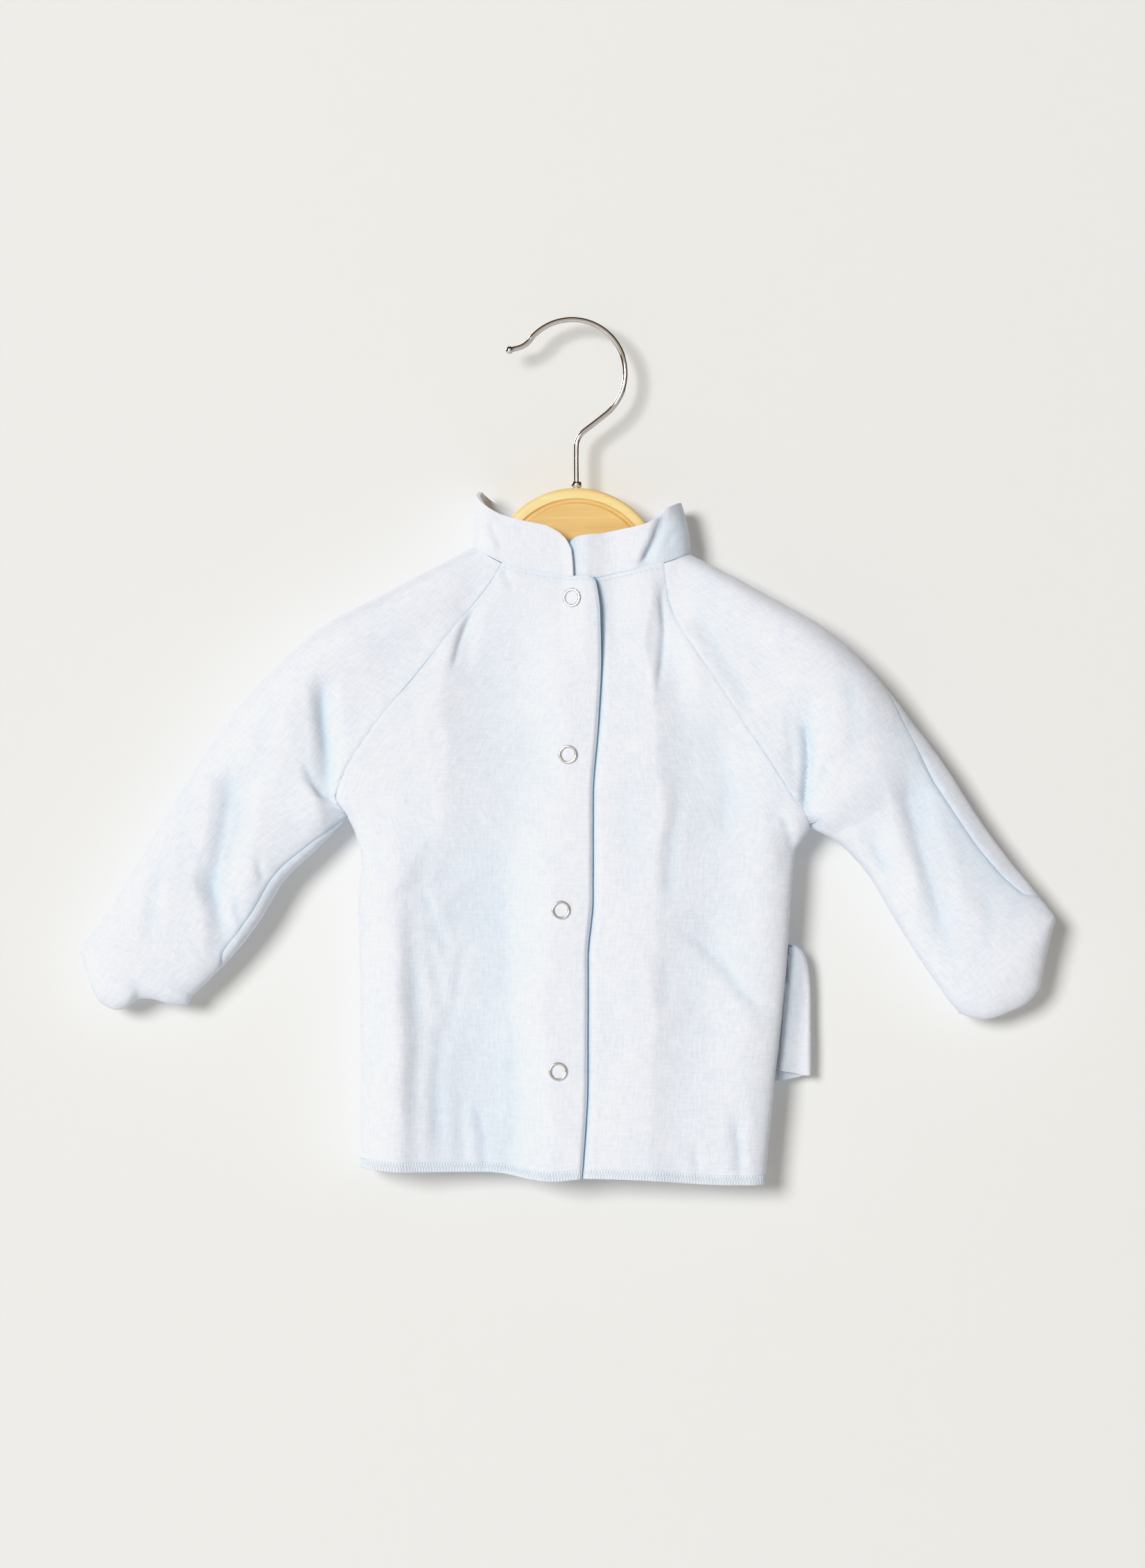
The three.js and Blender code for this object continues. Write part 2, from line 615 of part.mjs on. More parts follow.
// Turns of a ring from one seam to the other, evenly spaced along the cloth.
function evenTurns(sleeve, along, from, to) {
  const fine = Array.from({ length: 81 }, (_, i) => mix(from, to, i / 80));
  const points = fine.map((turn) => sleevePoint(sleeve, along, turn));
  const lengths = [0];
  for (let i = 1; i < points.length; i += 1) {
    lengths.push(lengths[i - 1] + points[i].distanceTo(points[i - 1]));
  }
  return Array.from({ length: SLEEVE_COLUMNS + 1 }, (_, k) => {
    const wanted = (lengths.at(-1) * k) / SLEEVE_COLUMNS;
    let i = 1;
    while (i < lengths.length - 1 && lengths[i] < wanted) i += 1;
    return mix(fine[i - 1], fine[i], (wanted - lengths[i - 1]) / (lengths[i] - lengths[i - 1]));
  });
}

// The front part (face 1) or the back part (face -1) of a sleeve, from the over-arm seam to the underarm.
function sleevePart(sleeve, face) {
  const alongs = [
    0.005,
    ...Array.from({ length: CAP_ROWS }, (_, i) => (i + 1) / CAP_ROWS),
    ...Array.from({ length: ARM_ROWS }, (_, i) => 1 + (i + 1) / ARM_ROWS),
    ...END_STEPS.map((step) => 2 + step),
  ];
  const half = SEAM_GAP / 2;
  const grid = [];
  const normals = [];
  const own = (along) => along > 1.89; // here both seams lie on the silhouette
  for (const along of alongs) {
    const place = Math.min(along, 2);
    const fade = 1 - smooth((along - 1.7) / 0.18);
    const seam = at(sleeve.rows, "along", place, "seam") * fade;
    const under = at(sleeve.rows, "along", place, "under") * fade;
    const raglan = Math.max(raglanGap(along) * 1.3, half);
    const from = turnAway(sleeve, along, 0, own(along) ? 0.001 * face : seam + face * half);
    const to = turnAway(sleeve, along, face, own(along) ? -0.001 * face : -face * raglan - under);
    const turns = evenTurns(sleeve, along, from, to);
    const row = turns.map((turn) => sleevePoint(sleeve, along, turn));
    if (own(along)) for (const p of row) p.y = face > 0 ? Math.min(p.y, -half) : Math.max(p.y, half);
    const limit = (turn) => (own(along) ? face * Math.min(Math.max(turn * face, 1e-4), 0.9999) : turn);
    const rowNormals = turns.map((turn) => sleeveNormal(sleeve, along, turn, limit));
    if (along < 1) rowNormals[SLEEVE_COLUMNS] = raglanNormal(sleeve, face, along);
    if (own(along)) for (const k of [0, SLEEVE_COLUMNS]) rowNormals[k].setY(0).normalize();
    normals.push(rowNormals);
    grid.push(row);
  }
  const keep = (p, r) => {
    if (own(alongs[r])) p.y = face > 0 ? Math.min(p.y, -half) : Math.max(p.y, half);
    return p;
  };
  return wall(grid, normals, CLOTH, keep);
}

// ---------------------------------------------------------------- collar

// The neck seam from the wearer's right front end round the back to the left front end.
function neckSeam() {
  const steps = 24;
  const points = [];
  const span = (from, to, rule) => {
    for (let i = points.length ? 1 : 0; i <= steps; i += 1) points.push(rule(mix(from, to, i / steps)));
  };
  const panelPoint = (table, y) => (x) => {
    const z = at(table, "x", x, "z");
    return new THREE.Vector3(x, y(x, z), z);
  };
  span(-1.3, -37, panelPoint(NECK_FRONT, topY));
  span(1, -1, (turn) => sleevePoint(SLEEVES.right, 0, turn));
  span(-37, 44, panelPoint(NECK_BACK, backY));
  span(-1, 1, (turn) => sleevePoint(SLEEVES.left, 0, turn));
  span(44, -3.8, panelPoint(NECK_FRONT, underY));
  return points;
}

function collar() {
  const seam = new THREE.CatmullRomCurve3(neckSeam());
  seam.arcLengthDivisions = 600;
  const grid = [];
  for (let i = 0; i <= COLLAR_COLUMNS; i += 1) {
    // Closer together at the two rounded front ends.
    const even = i / COLLAR_COLUMNS;
    const share = even - (0.75 * Math.sin(2 * Math.PI * even)) / (2 * Math.PI);
    const low = seam.getPointAt(clamp01(share));
    const height = at(COLLAR, "share", share, "height");
    const leanX = at(COLLAR, "share", share, "leanX");
    const leanY = at(COLLAR, "share", share, "leanY");
    const row = [];
    for (let k = COLLAR_ROWS; k >= 0; k -= 1) {
      const up = k / COLLAR_ROWS;
      const x = low.x + leanX * up * up;
      const z = low.z + SEAM_GAP * 1.6 + (height - SEAM_GAP * 1.6) * up;
      const front = share > 0.5 ? foldDepth([COLLAR_FOLD], x, z) * (low.y < 0 ? 1 : 0) : 0;
      row.push(new THREE.Vector3(x, low.y + leanY * up + front, z));
    }
    grid.push(row);
  }
  return wall(grid, gridNormals(grid), COLLAR_CLOTH);
}

// ---------------------------------------------------------------- snaps and side tab

// A solid of revolution about a line square to the cloth y(x, z). out is how far its middle lies from the
// cloth's middle, and the profile's second value runs along the line.
function onCloth(profile, sides, y, { x, z }, out) {
  const nudge = 2;
  const slopeX = (y(x + nudge, z) - y(x - nudge, z)) / (2 * nudge);
  const slopeZ = (y(x, z + nudge) - y(x, z - nudge)) / (2 * nudge);
  const outwards = new THREE.Vector3(slopeX, -1, slopeZ).normalize();
  const geometry = new THREE.LatheGeometry(profile, sides);
  geometry.applyQuaternion(new THREE.Quaternion().setFromUnitVectors(new THREE.Vector3(0, 1, 0), outwards));
  return geometry.translate(x + outwards.x * out, y(x, z) + outwards.y * out, z + outwards.z * out);
}

function ringProfile(outer, band, height) {
  const middle = outer - band / 2;
  return Array.from({ length: 7 }, (_, i) => {
    const angle = (i / 6) * 2 * Math.PI;
    return new THREE.Vector2(middle + (Math.cos(angle) * band) / 2, (Math.sin(angle) * height) / 2);
  });
}

const discProfile = (radius, height) => [
  new THREE.Vector2(0, -height / 2),
  new THREE.Vector2(radius, -height / 2),
  new THREE.Vector2(radius, height / 2),
  new THREE.Vector2(0, height / 2),
];

const snapRing = ringProfile(SNAP.diameter / 2, SNAP.band, SNAP.height);
const ringOut = CLOTH / 2 + SEAM_GAP + SNAP.height / 2;
const snapCap = (place) => onCloth(snapRing, 14, topY, place, ringOut);
const snapBack = (place) => onCloth(snapRing, 10, underY, place, -ringOut);
const snapDisc = discProfile(SNAP.coupling / 2, SNAP.couplingHeight);
const betweenY = (x, z) => topY(x, z) + UNDERLAP / 2;
const snapCoupling = (place) => onCloth(snapDisc, 10, betweenY, place, 0);

// Outer edge of the doubled strip behind the wearer's left side.
const TAB_EDGE = [
  { z: -316, x: 107.5 },
  { z: -320, x: 111.5 },
  { z: -328, x: 115.8 },
  { z: -342, x: 118 },
  { z: -385, x: 118.3 },
];
const TAB = { root: 5, near: -377.5, far: -384, apart: 3.6, rows: 8, flat: 2, turn: 6 };

function sideTab() {
  const columns = 2 * TAB.flat + TAB.turn;
  const bend = TAB.apart / 2;
  const grid = [];
  for (let r = 0; r <= TAB.rows; r += 1) {
    const row = [];
    for (let c = 0; c <= columns; c += 1) {
      const turned = clamp01((c - TAB.flat) / TAB.turn); // 0 on the near layer, 1 on the far one
      const z = mix(TAB_EDGE[0].z, mix(TAB.near, TAB.far, smooth(turned)), (r / TAB.rows) ** 1.3);
      const side = edgeX("right", z) - TAB.root;
      const outer = at(TAB_EDGE, "z", z, "x") - CLOTH / 2;
      const y = backY(side, z) + CLOTH + 1.3 * SEAM_GAP;
      const angle = (turned - 0.5) * Math.PI;
      const straight = Math.max(TAB.flat - c, c - TAB.flat - TAB.turn, 0) / TAB.flat;
      const turnX = outer - bend + Math.cos(angle) * bend;
      row.push(new THREE.Vector3(mix(turnX, side, straight), y + bend + Math.sin(angle) * bend, z));
    }
    grid.push(row);
  }
  return wall(grid, gridNormals(grid), CLOTH);
}

// ---------------------------------------------------------------- hanger

function toSolid(geometry) {
  const plain = geometry.index ? geometry.toNonIndexed() : geometry.clone();
  plain.deleteAttribute("normal");
  plain.deleteAttribute("uv");
  const merged = mergeVertices(plain, 1e-4);
  const positions = merged.attributes.position.array;
  const index = new Uint32Array(merged.index.array);
  const solid = new wasm.Manifold(new wasm.Mesh({ numProp: 3, vertProperties: positions, triVerts: index }));
  if (solid.volume() >= 0) return solid;
  for (let i = 0; i < index.length; i += 3) [index[i], index[i + 1]] = [index[i + 1], index[i]];
  return new wasm.Manifold(new wasm.Mesh({ numProp: 3, vertProperties: positions, triVerts: index }));
}

function toGeometry(solid) {
  const mesh = solid.getMesh();
  const geometry = new THREE.BufferGeometry();
  geometry.setAttribute("position", new THREE.BufferAttribute(mesh.vertProperties, 3));
  geometry.setIndex(new THREE.BufferAttribute(mesh.triVerts, 1));
  geometry.computeVertexNormals();
  return geometry;
}

// Half of the plate's lower outline, from the arm's top to the middle of the underside, about the head's top.
const WOOD_ARM = [
  { x: 50, z: -33.6 },
  { x: 75, z: -46.4 },
  { x: 100, z: -59.6 },
  { x: 118, z: -68.6 },
  { x: 125.5, z: -73.2 },
  { x: 127.5, z: -78 },
  { x: 124.5, z: -83.5 },
  { x: 117, z: -86 },
  { x: 90, z: -76 },
  { x: 60, z: -63 },
  { x: 30, z: -56 },
];
const headAngle = 0.42; // where the arch meets the arms, above the level of its centre
const woodTop = -HOOK.standsAboveWood;

function band(outer, inner) {
  const shape = new THREE.Shape();
  shape.absarc(0, -WOOD.head, outer, headAngle, Math.PI - headAngle, false);
  shape.absarc(0, -WOOD.head, inner, Math.PI - headAngle, headAngle, true);
  return shape;
}

function standing(geometry) {
  return geometry.rotateX(Math.PI / 2);
}

function hangerWood() {
  const shape = new THREE.Shape();
  shape.absarc(0, -WOOD.head, WOOD.head, Math.PI - headAngle, headAngle, true);
  for (const { x, z } of WOOD_ARM) shape.lineTo(x, z);
  shape.lineTo(0, -53.7);
  for (const { x, z } of [...WOOD_ARM].reverse()) shape.lineTo(-x, z);
  const bevel = {
    bevelThickness: WOOD.edge,
    bevelSize: WOOD.edge,
    bevelOffset: -WOOD.edge,
    bevelSegments: 2,
  };
  const depth = WOOD.thick - 2 * WOOD.edge;
  const plate = standing(new THREE.ExtrudeGeometry(shape, { depth, curveSegments: 12, ...bevel }));
  plate.translate(0, depth / 2, 0);
  const groove = { outer: WOOD.head - 5.3, inner: WOOD.head - 7.9, deep: 0.8 };
  const plain = { depth: 2, curveSegments: 14, bevelEnabled: false };
  const cut = () => standing(new THREE.ExtrudeGeometry(band(groove.outer, groove.inner), plain));
  const face = WOOD.thick / 2 - groove.deep;
  const bore = new THREE.CylinderGeometry(HOOK.wire / 2 + SEAM_GAP, HOOK.wire / 2 + SEAM_GAP, 26, 12);
  bore.rotateX(Math.PI / 2);
  const solid = toSolid(plate)
    .subtract(toSolid(cut().translate(0, -face, 0)))
    .subtract(toSolid(cut().translate(0, face + 2, 0)))
    .subtract(toSolid(bore));
  return toGeometry(solid);
}

// The wire from its ball tip over the bow, round the corner and down into the plate.
function hookWire() {
  const bow = { x: -2, z: HOOK.wire / 2 - HOOK.radius, from: 144.8, to: -49.8 };
  const route = [
    { x: -33, z: -14 },
    { x: -29.5, z: -13.2 },
    { x: -26.5, z: -12 },
  ];
  for (let i = 0; i <= 14; i += 1) {
    const angle = (mix(bow.from, bow.to, i / 14) * Math.PI) / 180;
    route.push({ x: bow.x + HOOK.radius * Math.cos(angle), z: bow.z + HOOK.radius * Math.sin(angle) });
  }
  route.push({ x: 8.2, z: -52 }, { x: 3.2, z: -56 }, { x: 0.7, z: -60 }, { x: 0.3, z: -66 });
  route.push({ x: 0.3, z: -74 }, { x: WIRE_X, z: woodTop }, { x: WIRE_X, z: woodTop - HOOK.intoWood });
  const path = new THREE.CatmullRomCurve3(route.map(({ x, z }) => new THREE.Vector3(x, 0, z)));
  const circle = new THREE.Shape().absarc(0, 0, HOOK.wire / 2, 0, 2 * Math.PI);
  const wire = new THREE.ExtrudeGeometry(circle, { steps: 46, curveSegments: 4, extrudePath: path });
  const tip = new THREE.SphereGeometry(HOOK.tip, 12, 8).translate(-33.5, 0, -14.1);
  return toGeometry(toSolid(wire).add(toSolid(tip)));
}

// The rounded collar that the wire goes through, just above the plate.
function ferrule() {
  const inner = HOOK.wire / 2 + SEAM_GAP;
  const { radius, height, stands, turn, steps } = FERRULE;
  const profile = [new THREE.Vector2(inner, -height / 2)];
  for (let i = 0; i <= steps; i += 1) {
    const angle = THREE.MathUtils.degToRad(mix(-turn / 2, turn / 2, i / steps));
    const out = inner + (radius - inner) * Math.cos(angle);
    profile.push(new THREE.Vector2(out, (Math.sin(angle) * height) / 2 / Math.sin(Math.PI / 3)));
  }
  profile.push(new THREE.Vector2(inner, height / 2), new THREE.Vector2(inner, -height / 2));
  const geometry = new THREE.LatheGeometry(profile, 14);
  return geometry.rotateX(Math.PI / 2).translate(WIRE_X, 0, woodTop + stands);
}

// ---------------------------------------------------------------- the part

const jersey = { color: 0xdfeaf3, roughness: 0.95, metalness: 0 };
const metal = { color: 0xc9ccd0, roughness: 0.25, metalness: 1 };
const wood = { color: 0xe6bd72, roughness: 0.45, metalness: 0 };

const part = new THREE.Group();
function add(name, geometry, look, parent = part) {
  const closed = toGeometry(toSolid(geometry));
  const mesh = new THREE.Mesh(closed, new THREE.MeshStandardMaterial(look));
  mesh.name = name;
  parent.add(mesh);
}

add("front_right", frontRight(), jersey);
add("front_left", frontLeft(), jersey);
add("back", backPanel(), jersey);
for (const [side, sleeve] of Object.entries(SLEEVES)) {
  add(`sleeve_${side}_front`, sleevePart(sleeve, 1), jersey);
  add(`sleeve_${side}_back`, sleevePart(sleeve, -1), jersey);
}
add("collar", collar(), jersey);
add("side_tab", sideTab(), jersey);
SNAPS.forEach((place, i) => {
  add(`snap_${i + 1}_cap`, snapCap(place), metal);
  add(`snap_${i + 1}_coupling`, snapCoupling(place), metal);
  add(`snap_${i + 1}_back`, snapBack(place), metal);
});

const plate = new THREE.Group();
plate.position.set(0.5, 0, woodTop);
plate.rotation.y = THREE.MathUtils.degToRad(WOOD.tilt);
add("hanger_wood", hangerWood(), wood, plate);
part.add(plate);
add("hook", hookWire(), metal);
add("ferrule", ferrule(), metal);

export default part;
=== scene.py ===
# %% [markdown]
# # A baby's shirt on its hanger
# The object is a long-sleeved jersey shirt with a stand collar and four ring snaps, on a wooden
# baby hanger with a wire hook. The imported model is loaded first. Everything else is made in the
# same place and size round it: cloth, sewing, metal and wood. Sizes are in millimetres, and MM
# turns them into Blender's metres where a mesh or a light takes them.

# %% Load the frame
import math

import bpy
import numpy as np
from mathutils import Matrix, Vector


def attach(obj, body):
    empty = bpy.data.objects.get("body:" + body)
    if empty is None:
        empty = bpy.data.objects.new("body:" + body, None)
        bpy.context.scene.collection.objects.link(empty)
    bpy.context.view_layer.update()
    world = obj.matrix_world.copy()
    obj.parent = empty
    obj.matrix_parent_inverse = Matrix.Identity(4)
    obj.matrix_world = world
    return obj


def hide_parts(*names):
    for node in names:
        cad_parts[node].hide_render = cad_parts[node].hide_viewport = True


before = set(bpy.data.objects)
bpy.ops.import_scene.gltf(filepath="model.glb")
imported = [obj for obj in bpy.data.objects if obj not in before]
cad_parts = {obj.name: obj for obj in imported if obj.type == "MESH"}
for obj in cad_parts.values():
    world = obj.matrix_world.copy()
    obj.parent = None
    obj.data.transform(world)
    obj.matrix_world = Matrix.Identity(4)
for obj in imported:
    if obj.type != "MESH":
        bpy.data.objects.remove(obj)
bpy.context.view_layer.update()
MM = 0.001

# %% [markdown]
# ## Camera, floor and light
# The camera stands level in front of the chest, far enough back for the shirt to look flat. A pale
# wall hangs close behind, so that the shirt throws a soft shadow, and a pale floor lies far below.
# The wall could be a solid slab, but then a view from behind would show nothing else. It is one
# plane that is clear on its back instead, so the back of the shirt can be seen through it.

# %% Camera
VIEW_CENTRE = Vector((-1.75, 0, -233.3)) * MM
VIEW_HEIGHT = 792 * MM  # what the long side of the picture takes in
CAMERA_DISTANCE = 2.2
SENSOR = 36

camera_data = bpy.data.cameras.new("camera")
camera = bpy.data.objects.new("camera", camera_data)
bpy.context.scene.collection.objects.link(camera)
bpy.context.scene.camera = camera
camera_data.sensor_width = SENSOR
camera_data.lens = SENSOR * CAMERA_DISTANCE / VIEW_HEIGHT
camera.location = VIEW_CENTRE - Vector((0, CAMERA_DISTANCE, 0))
camera.rotation_euler = (math.radians(90), 0, 0)
print("lens:", round(camera_data.lens, 1), "mm")

# %% Small helpers for pieces
def deselect():
    for o in bpy.context.selected_objects:
        o.select_set(False)


def only(obj):
    deselect()
    bpy.context.view_layer.objects.active = obj
    obj.select_set(True)


def apply_modifier(obj, kind, **settings):
    only(obj)
    modifier = obj.modifiers.new(kind.lower(), kind)
    for key, value in settings.items():
        setattr(modifier, key, value)
    bpy.ops.object.modifier_apply(modifier=modifier.name)


def set_points(mesh, points):
    """Moves a mesh's points to places given in millimetres."""
    mesh.vertices.foreach_set("co", (points * MM).astype(np.float32).ravel())


def new_grid(points):
    """A grid primitive laid on rows and columns of points."""
    rows, columns = points.shape[:2]
    deselect()
    bpy.ops.mesh.primitive_grid_add(x_subdivisions=columns - 1, y_subdivisions=rows - 1, size=1)
    grid = bpy.context.object
    set_points(grid.data, points)
    return grid


def edit_all(*steps):
    """Runs each edit-mode step on the whole of the active mesh."""
    bpy.ops.object.mode_set(mode="EDIT")
    for step in steps:
        bpy.ops.mesh.select_all(action="SELECT")
        step()
    bpy.ops.object.mode_set(mode="OBJECT")


def merge_points():
    bpy.ops.mesh.remove_doubles(threshold=0.002 * MM)


def close_holes():
    bpy.ops.mesh.fill_holes(sides=0)


def face_outwards():
    bpy.ops.mesh.normals_make_consistent(inside=False)


def triangles(obj):
    return sum(len(p.vertices) - 2 for p in obj.data.polygons)


def finish_piece(obj, name, material, slot, *nodes):
    obj.name = obj.data.name = name
    obj.data.materials.clear()
    obj.data.materials.append(material)
    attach(obj, "root")
    if nodes:
        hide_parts(*nodes)
    print(name, triangles(obj), "triangles")
    return obj


# %% Small helpers for materials
class Shader:
    """A material's node tree, with nodes added by name and linked by socket names."""

    def __init__(self, name):
        self.material = bpy.data.materials.new(name)
        self.material.use_nodes = True
        self.nodes = self.material.node_tree.nodes
        self.links = self.material.node_tree.links
        self.body = self.nodes["Principled BSDF"]
        self.out = self.nodes["Material Output"]

    def add(self, kind, settings=None, **inputs):
        node = self.nodes.new("ShaderNode" + kind)
        for key, value in (settings or {}).items():
            setattr(node, key, value)
        for key, value in inputs.items():
            self.put(node, key.replace("_", " "), value)
        return node

    def put(self, node, key, value):
        """Sets or links a socket by its name, or by its number as i0, i1 and so on."""
        socket = node.inputs[int(key[1:])] if key[0] == "i" and key[1:].isdigit() else node.inputs[key]
        if isinstance(value, bpy.types.NodeSocket):
            self.links.new(value, socket)
        else:
            socket.default_value = value

    def set(self, **inputs):
        for key, value in inputs.items():
            self.put(self.body, key.replace("_", " "), value)

    def mix(self, factor, a, b, kind="MIX"):
        """Colour a where the factor is 0 and b where it is 1."""
        return self.add("Mix", {"data_type": "RGBA", "blend_type": kind}, i0=factor, i6=a, i7=b).outputs[2]

    def tint(self, a, b):
        return self.mix(1.0, a, b, "MULTIPLY")

    def maths(self, operation, a, b=0.0):
        return self.add("Math", {"operation": operation}, i0=a, i1=b).outputs[0]


def rgb(red, green, blue):
    """A display colour as the linear colour that shaders take."""
    return tuple(((c + 0.055) / 1.055) ** 2.4 for c in (red, green, blue)) + (1.0,)


# %% Wall and floor
WALL_Y = 18.2 * MM
WALL_COLOUR = rgb(0.855, 0.862, 0.86)


def stage_plane(name, size, place, turn, one_sided):
    deselect()
    bpy.ops.mesh.primitive_plane_add(size=size, location=place, rotation=turn)
    plane = bpy.context.object
    plane.name = name
    shader = Shader(name)
    shader.set(Base_Color=WALL_COLOUR, Roughness=0.9)
    if one_sided:
        side = shader.add("NewGeometry").outputs["Backfacing"]
        clear = shader.add("BsdfTransparent").outputs[0]
        mixed = shader.add("MixShader", i0=side, i1=shader.body.outputs[0], i2=clear)
        shader.put(shader.out, "Surface", mixed.outputs[0])
        plane.visible_shadow = plane.visible_glossy = False
    plane.data.materials.append(shader.material)


stage_plane("wall", 8, (0, WALL_Y, -0.2), (math.radians(90), 0, 0), True)
stage_plane("floor", 12, (0, 0, -1.6), (0, 0, 0), False)
print("wall", round(WALL_Y / MM), "mm behind the hanger")


# %% Lights
def area_light(name, place, target, size, power, colour=(1, 1, 1)):
    data = bpy.data.lights.new(name, "AREA")
    data.shape = "DISK"
    data.size, data.energy, data.color = size, power, colour
    light = bpy.data.objects.new(name, data)
    bpy.context.scene.collection.objects.link(light)
    light.location = place
    light.rotation_euler = (Vector(target) - Vector(place)).to_track_quat("-Z", "Y").to_euler()


CHEST = (0, 0, -0.25)
DAYLIGHT = (1.0, 0.994, 0.985)
area_light("window_left", (-6.22, -12.2, 2.66), CHEST, 5.0, 1885, DAYLIGHT)
area_light("behind_left", (-2.2, 3.4, 1.2), CHEST, 1.6, 80, DAYLIGHT)
area_light("behind_right", (2.4, 2.8, 0.3), CHEST, 1.6, 16, DAYLIGHT)


def room_light(front, side, back, strength):
    """Light from the open room: pale in front, dim behind, dark at the sides for metal to show."""
    world = bpy.data.worlds.new("room")
    bpy.context.scene.world = world
    world.use_nodes = True
    nodes, links = world.node_tree.nodes, world.node_tree.links
    part = nodes.new("ShaderNodeSeparateXYZ")
    links.new(nodes.new("ShaderNodeTexCoord").outputs["Generated"], part.inputs[0])
    share = nodes.new("ShaderNodeMapRange")  # 0 in front, 1 behind
    share.inputs["From Min"].default_value, share.inputs["From Max"].default_value = -1, 1
    links.new(part.outputs["Y"], share.inputs[0])
    ramp = nodes.new("ShaderNodeValToRGB")
    stops = ramp.color_ramp.elements
    stops[0].position, stops[0].color = 0.08, front
    stops[1].position, stops[1].color = 0.97, back
    for place in (0.27, 0.76):
        stops.new(place).color = side
    links.new(share.outputs[0], ramp.inputs[0])
    links.new(ramp.outputs[0], nodes["Background"].inputs["Color"])
    nodes["Background"].inputs["Strength"].default_value = strength


room_light(front=rgb(0.985, 0.9, 0.79), side=rgb(0.3, 0.22, 0.13), back=rgb(0.72, 0.72, 0.72), strength=0.45)


def soft_highlights(points):
    """Bright tones run up to white slowly, as they do on film."""
    view = bpy.context.scene.view_settings
    view.view_transform = "Standard"
    view.use_curve_mapping = True
    view.curve_mapping.use_clip = False
    tone = view.curve_mapping.curves[3]
    tone.points[0].location, tone.points[1].location = points[0], points[-1]
    for x, y in points[1:-1]:
        tone.points.new(x, y)
    view.curve_mapping.update()


soft_highlights([(0, 0), (0.8, 0.8), (0.95, 0.905), (1.1, 0.955), (1.5, 1.0)])
print("3 lights and the room's own light")

# %% [markdown]
# ## Cut of the cloth
# A shirt hangs as a flat bag: the fronts and the back bow a little away from the hanger, and a
# raglan sleeve runs from the neck to its closed end. It could be sculpted, but then nobody could
# read or change its sizes. Short tables give the edges of each cut piece and how far it stands out,
# in millimetres: X to the wearer's left, Y to the back, Z up. Smooth curves through the rows give
# every value between them.

# %% Tables of the cut
CENTRE_X = -1
ROUNDNESS = 4.0  # power of the body's section: 2 is an ellipse, and more is flatter in front
FLATNESS = 2.8  # the same for the sleeves
NECK_Z = -122
NECK_FRONT_Z = -129.2  # lowest point of the neck, at the folded front edge
ARMPIT_Z = {"right": -249, "left": -254}
ARMPIT_MEAN_Z = -252
HEM_Z = {"right": -426, "middle": -431.5, "left": -435}
CLOTH = 1.2  # thickness
HALF_GAP = 0.03  # half of what is left open between two sewn edges
UNDERLAP = 20  # how far the left front runs under the right one
BODY = np.array([  # z, stand of the front and of the back, run-on at the right and left edge
    (-112, 12, 10, 16, 12), (-122, 15, 11, 30, 24), (-150, 17, 12, 50, 60), (-185, 18, 13, 60, 62),
    (-215, 18, 13, 38, 46), (-235, 17.5, 13, 14, 22), (-244, 17, 12.5, 3, 9), (-249, 17, 12.5, 0, 4),
    (-254, 16.5, 12, 0, 0), (-300, 15.5, 11.5, 0, 0), (-440, 15, 11, 0, 0)], float)
EDGE = {  # z and x of the raglan seam and the side seam below it
    "right": np.array([
        (-122, -37), (-132, -43), (-153, -60), (-178, -80), (-202, -100), (-229, -117),
        (-241, -120.5), (-249, -115), (-258, -110.5), (-270, -107.5), (-291, -109.5),
        (-331, -108.5), (-440, -108)], float),
    "left": np.array([
        (-122, 44), (-138, 46), (-153, 51.5), (-166, 60), (-188, 75), (-211, 90), (-237, 107),
        (-254, 117.5), (-260, 114), (-268, 110), (-291, 108), (-331, 105), (-386, 99.5),
        (-440, 94.5)], float)}
FRONT_EDGE = np.array([  # z, x of the top front's folded edge
    (-129.2, 7.8), (-130.4, 9.2), (-134, 10.4), (-147, 12), (-170, 12.4), (-201, 11), (-241, 8),
    (-291, 8), (-321, 5.5), (-380, 5.5), (-434, 2.5)], float)
NECK_FRONT = np.array([  # x, z
    (-37, -122), (-25, -125.3), (-12, -127.7), (-1, -128.9), (9, -129.2), (20, -127.2),
    (32, -124.6), (44, -122)], float)
NECK_BACK = np.array([  # x, z
    (-37, -122), (-15, -125), (4, -126), (24, -125), (44, -122)], float)
HEM = np.array([  # x, z
    (-110, -426), (-85, -428.3), (-45, -428.6), (-12, -432.8), (5, -431.4), (30, -432),
    (70, -434.6), (96, -435)], float)
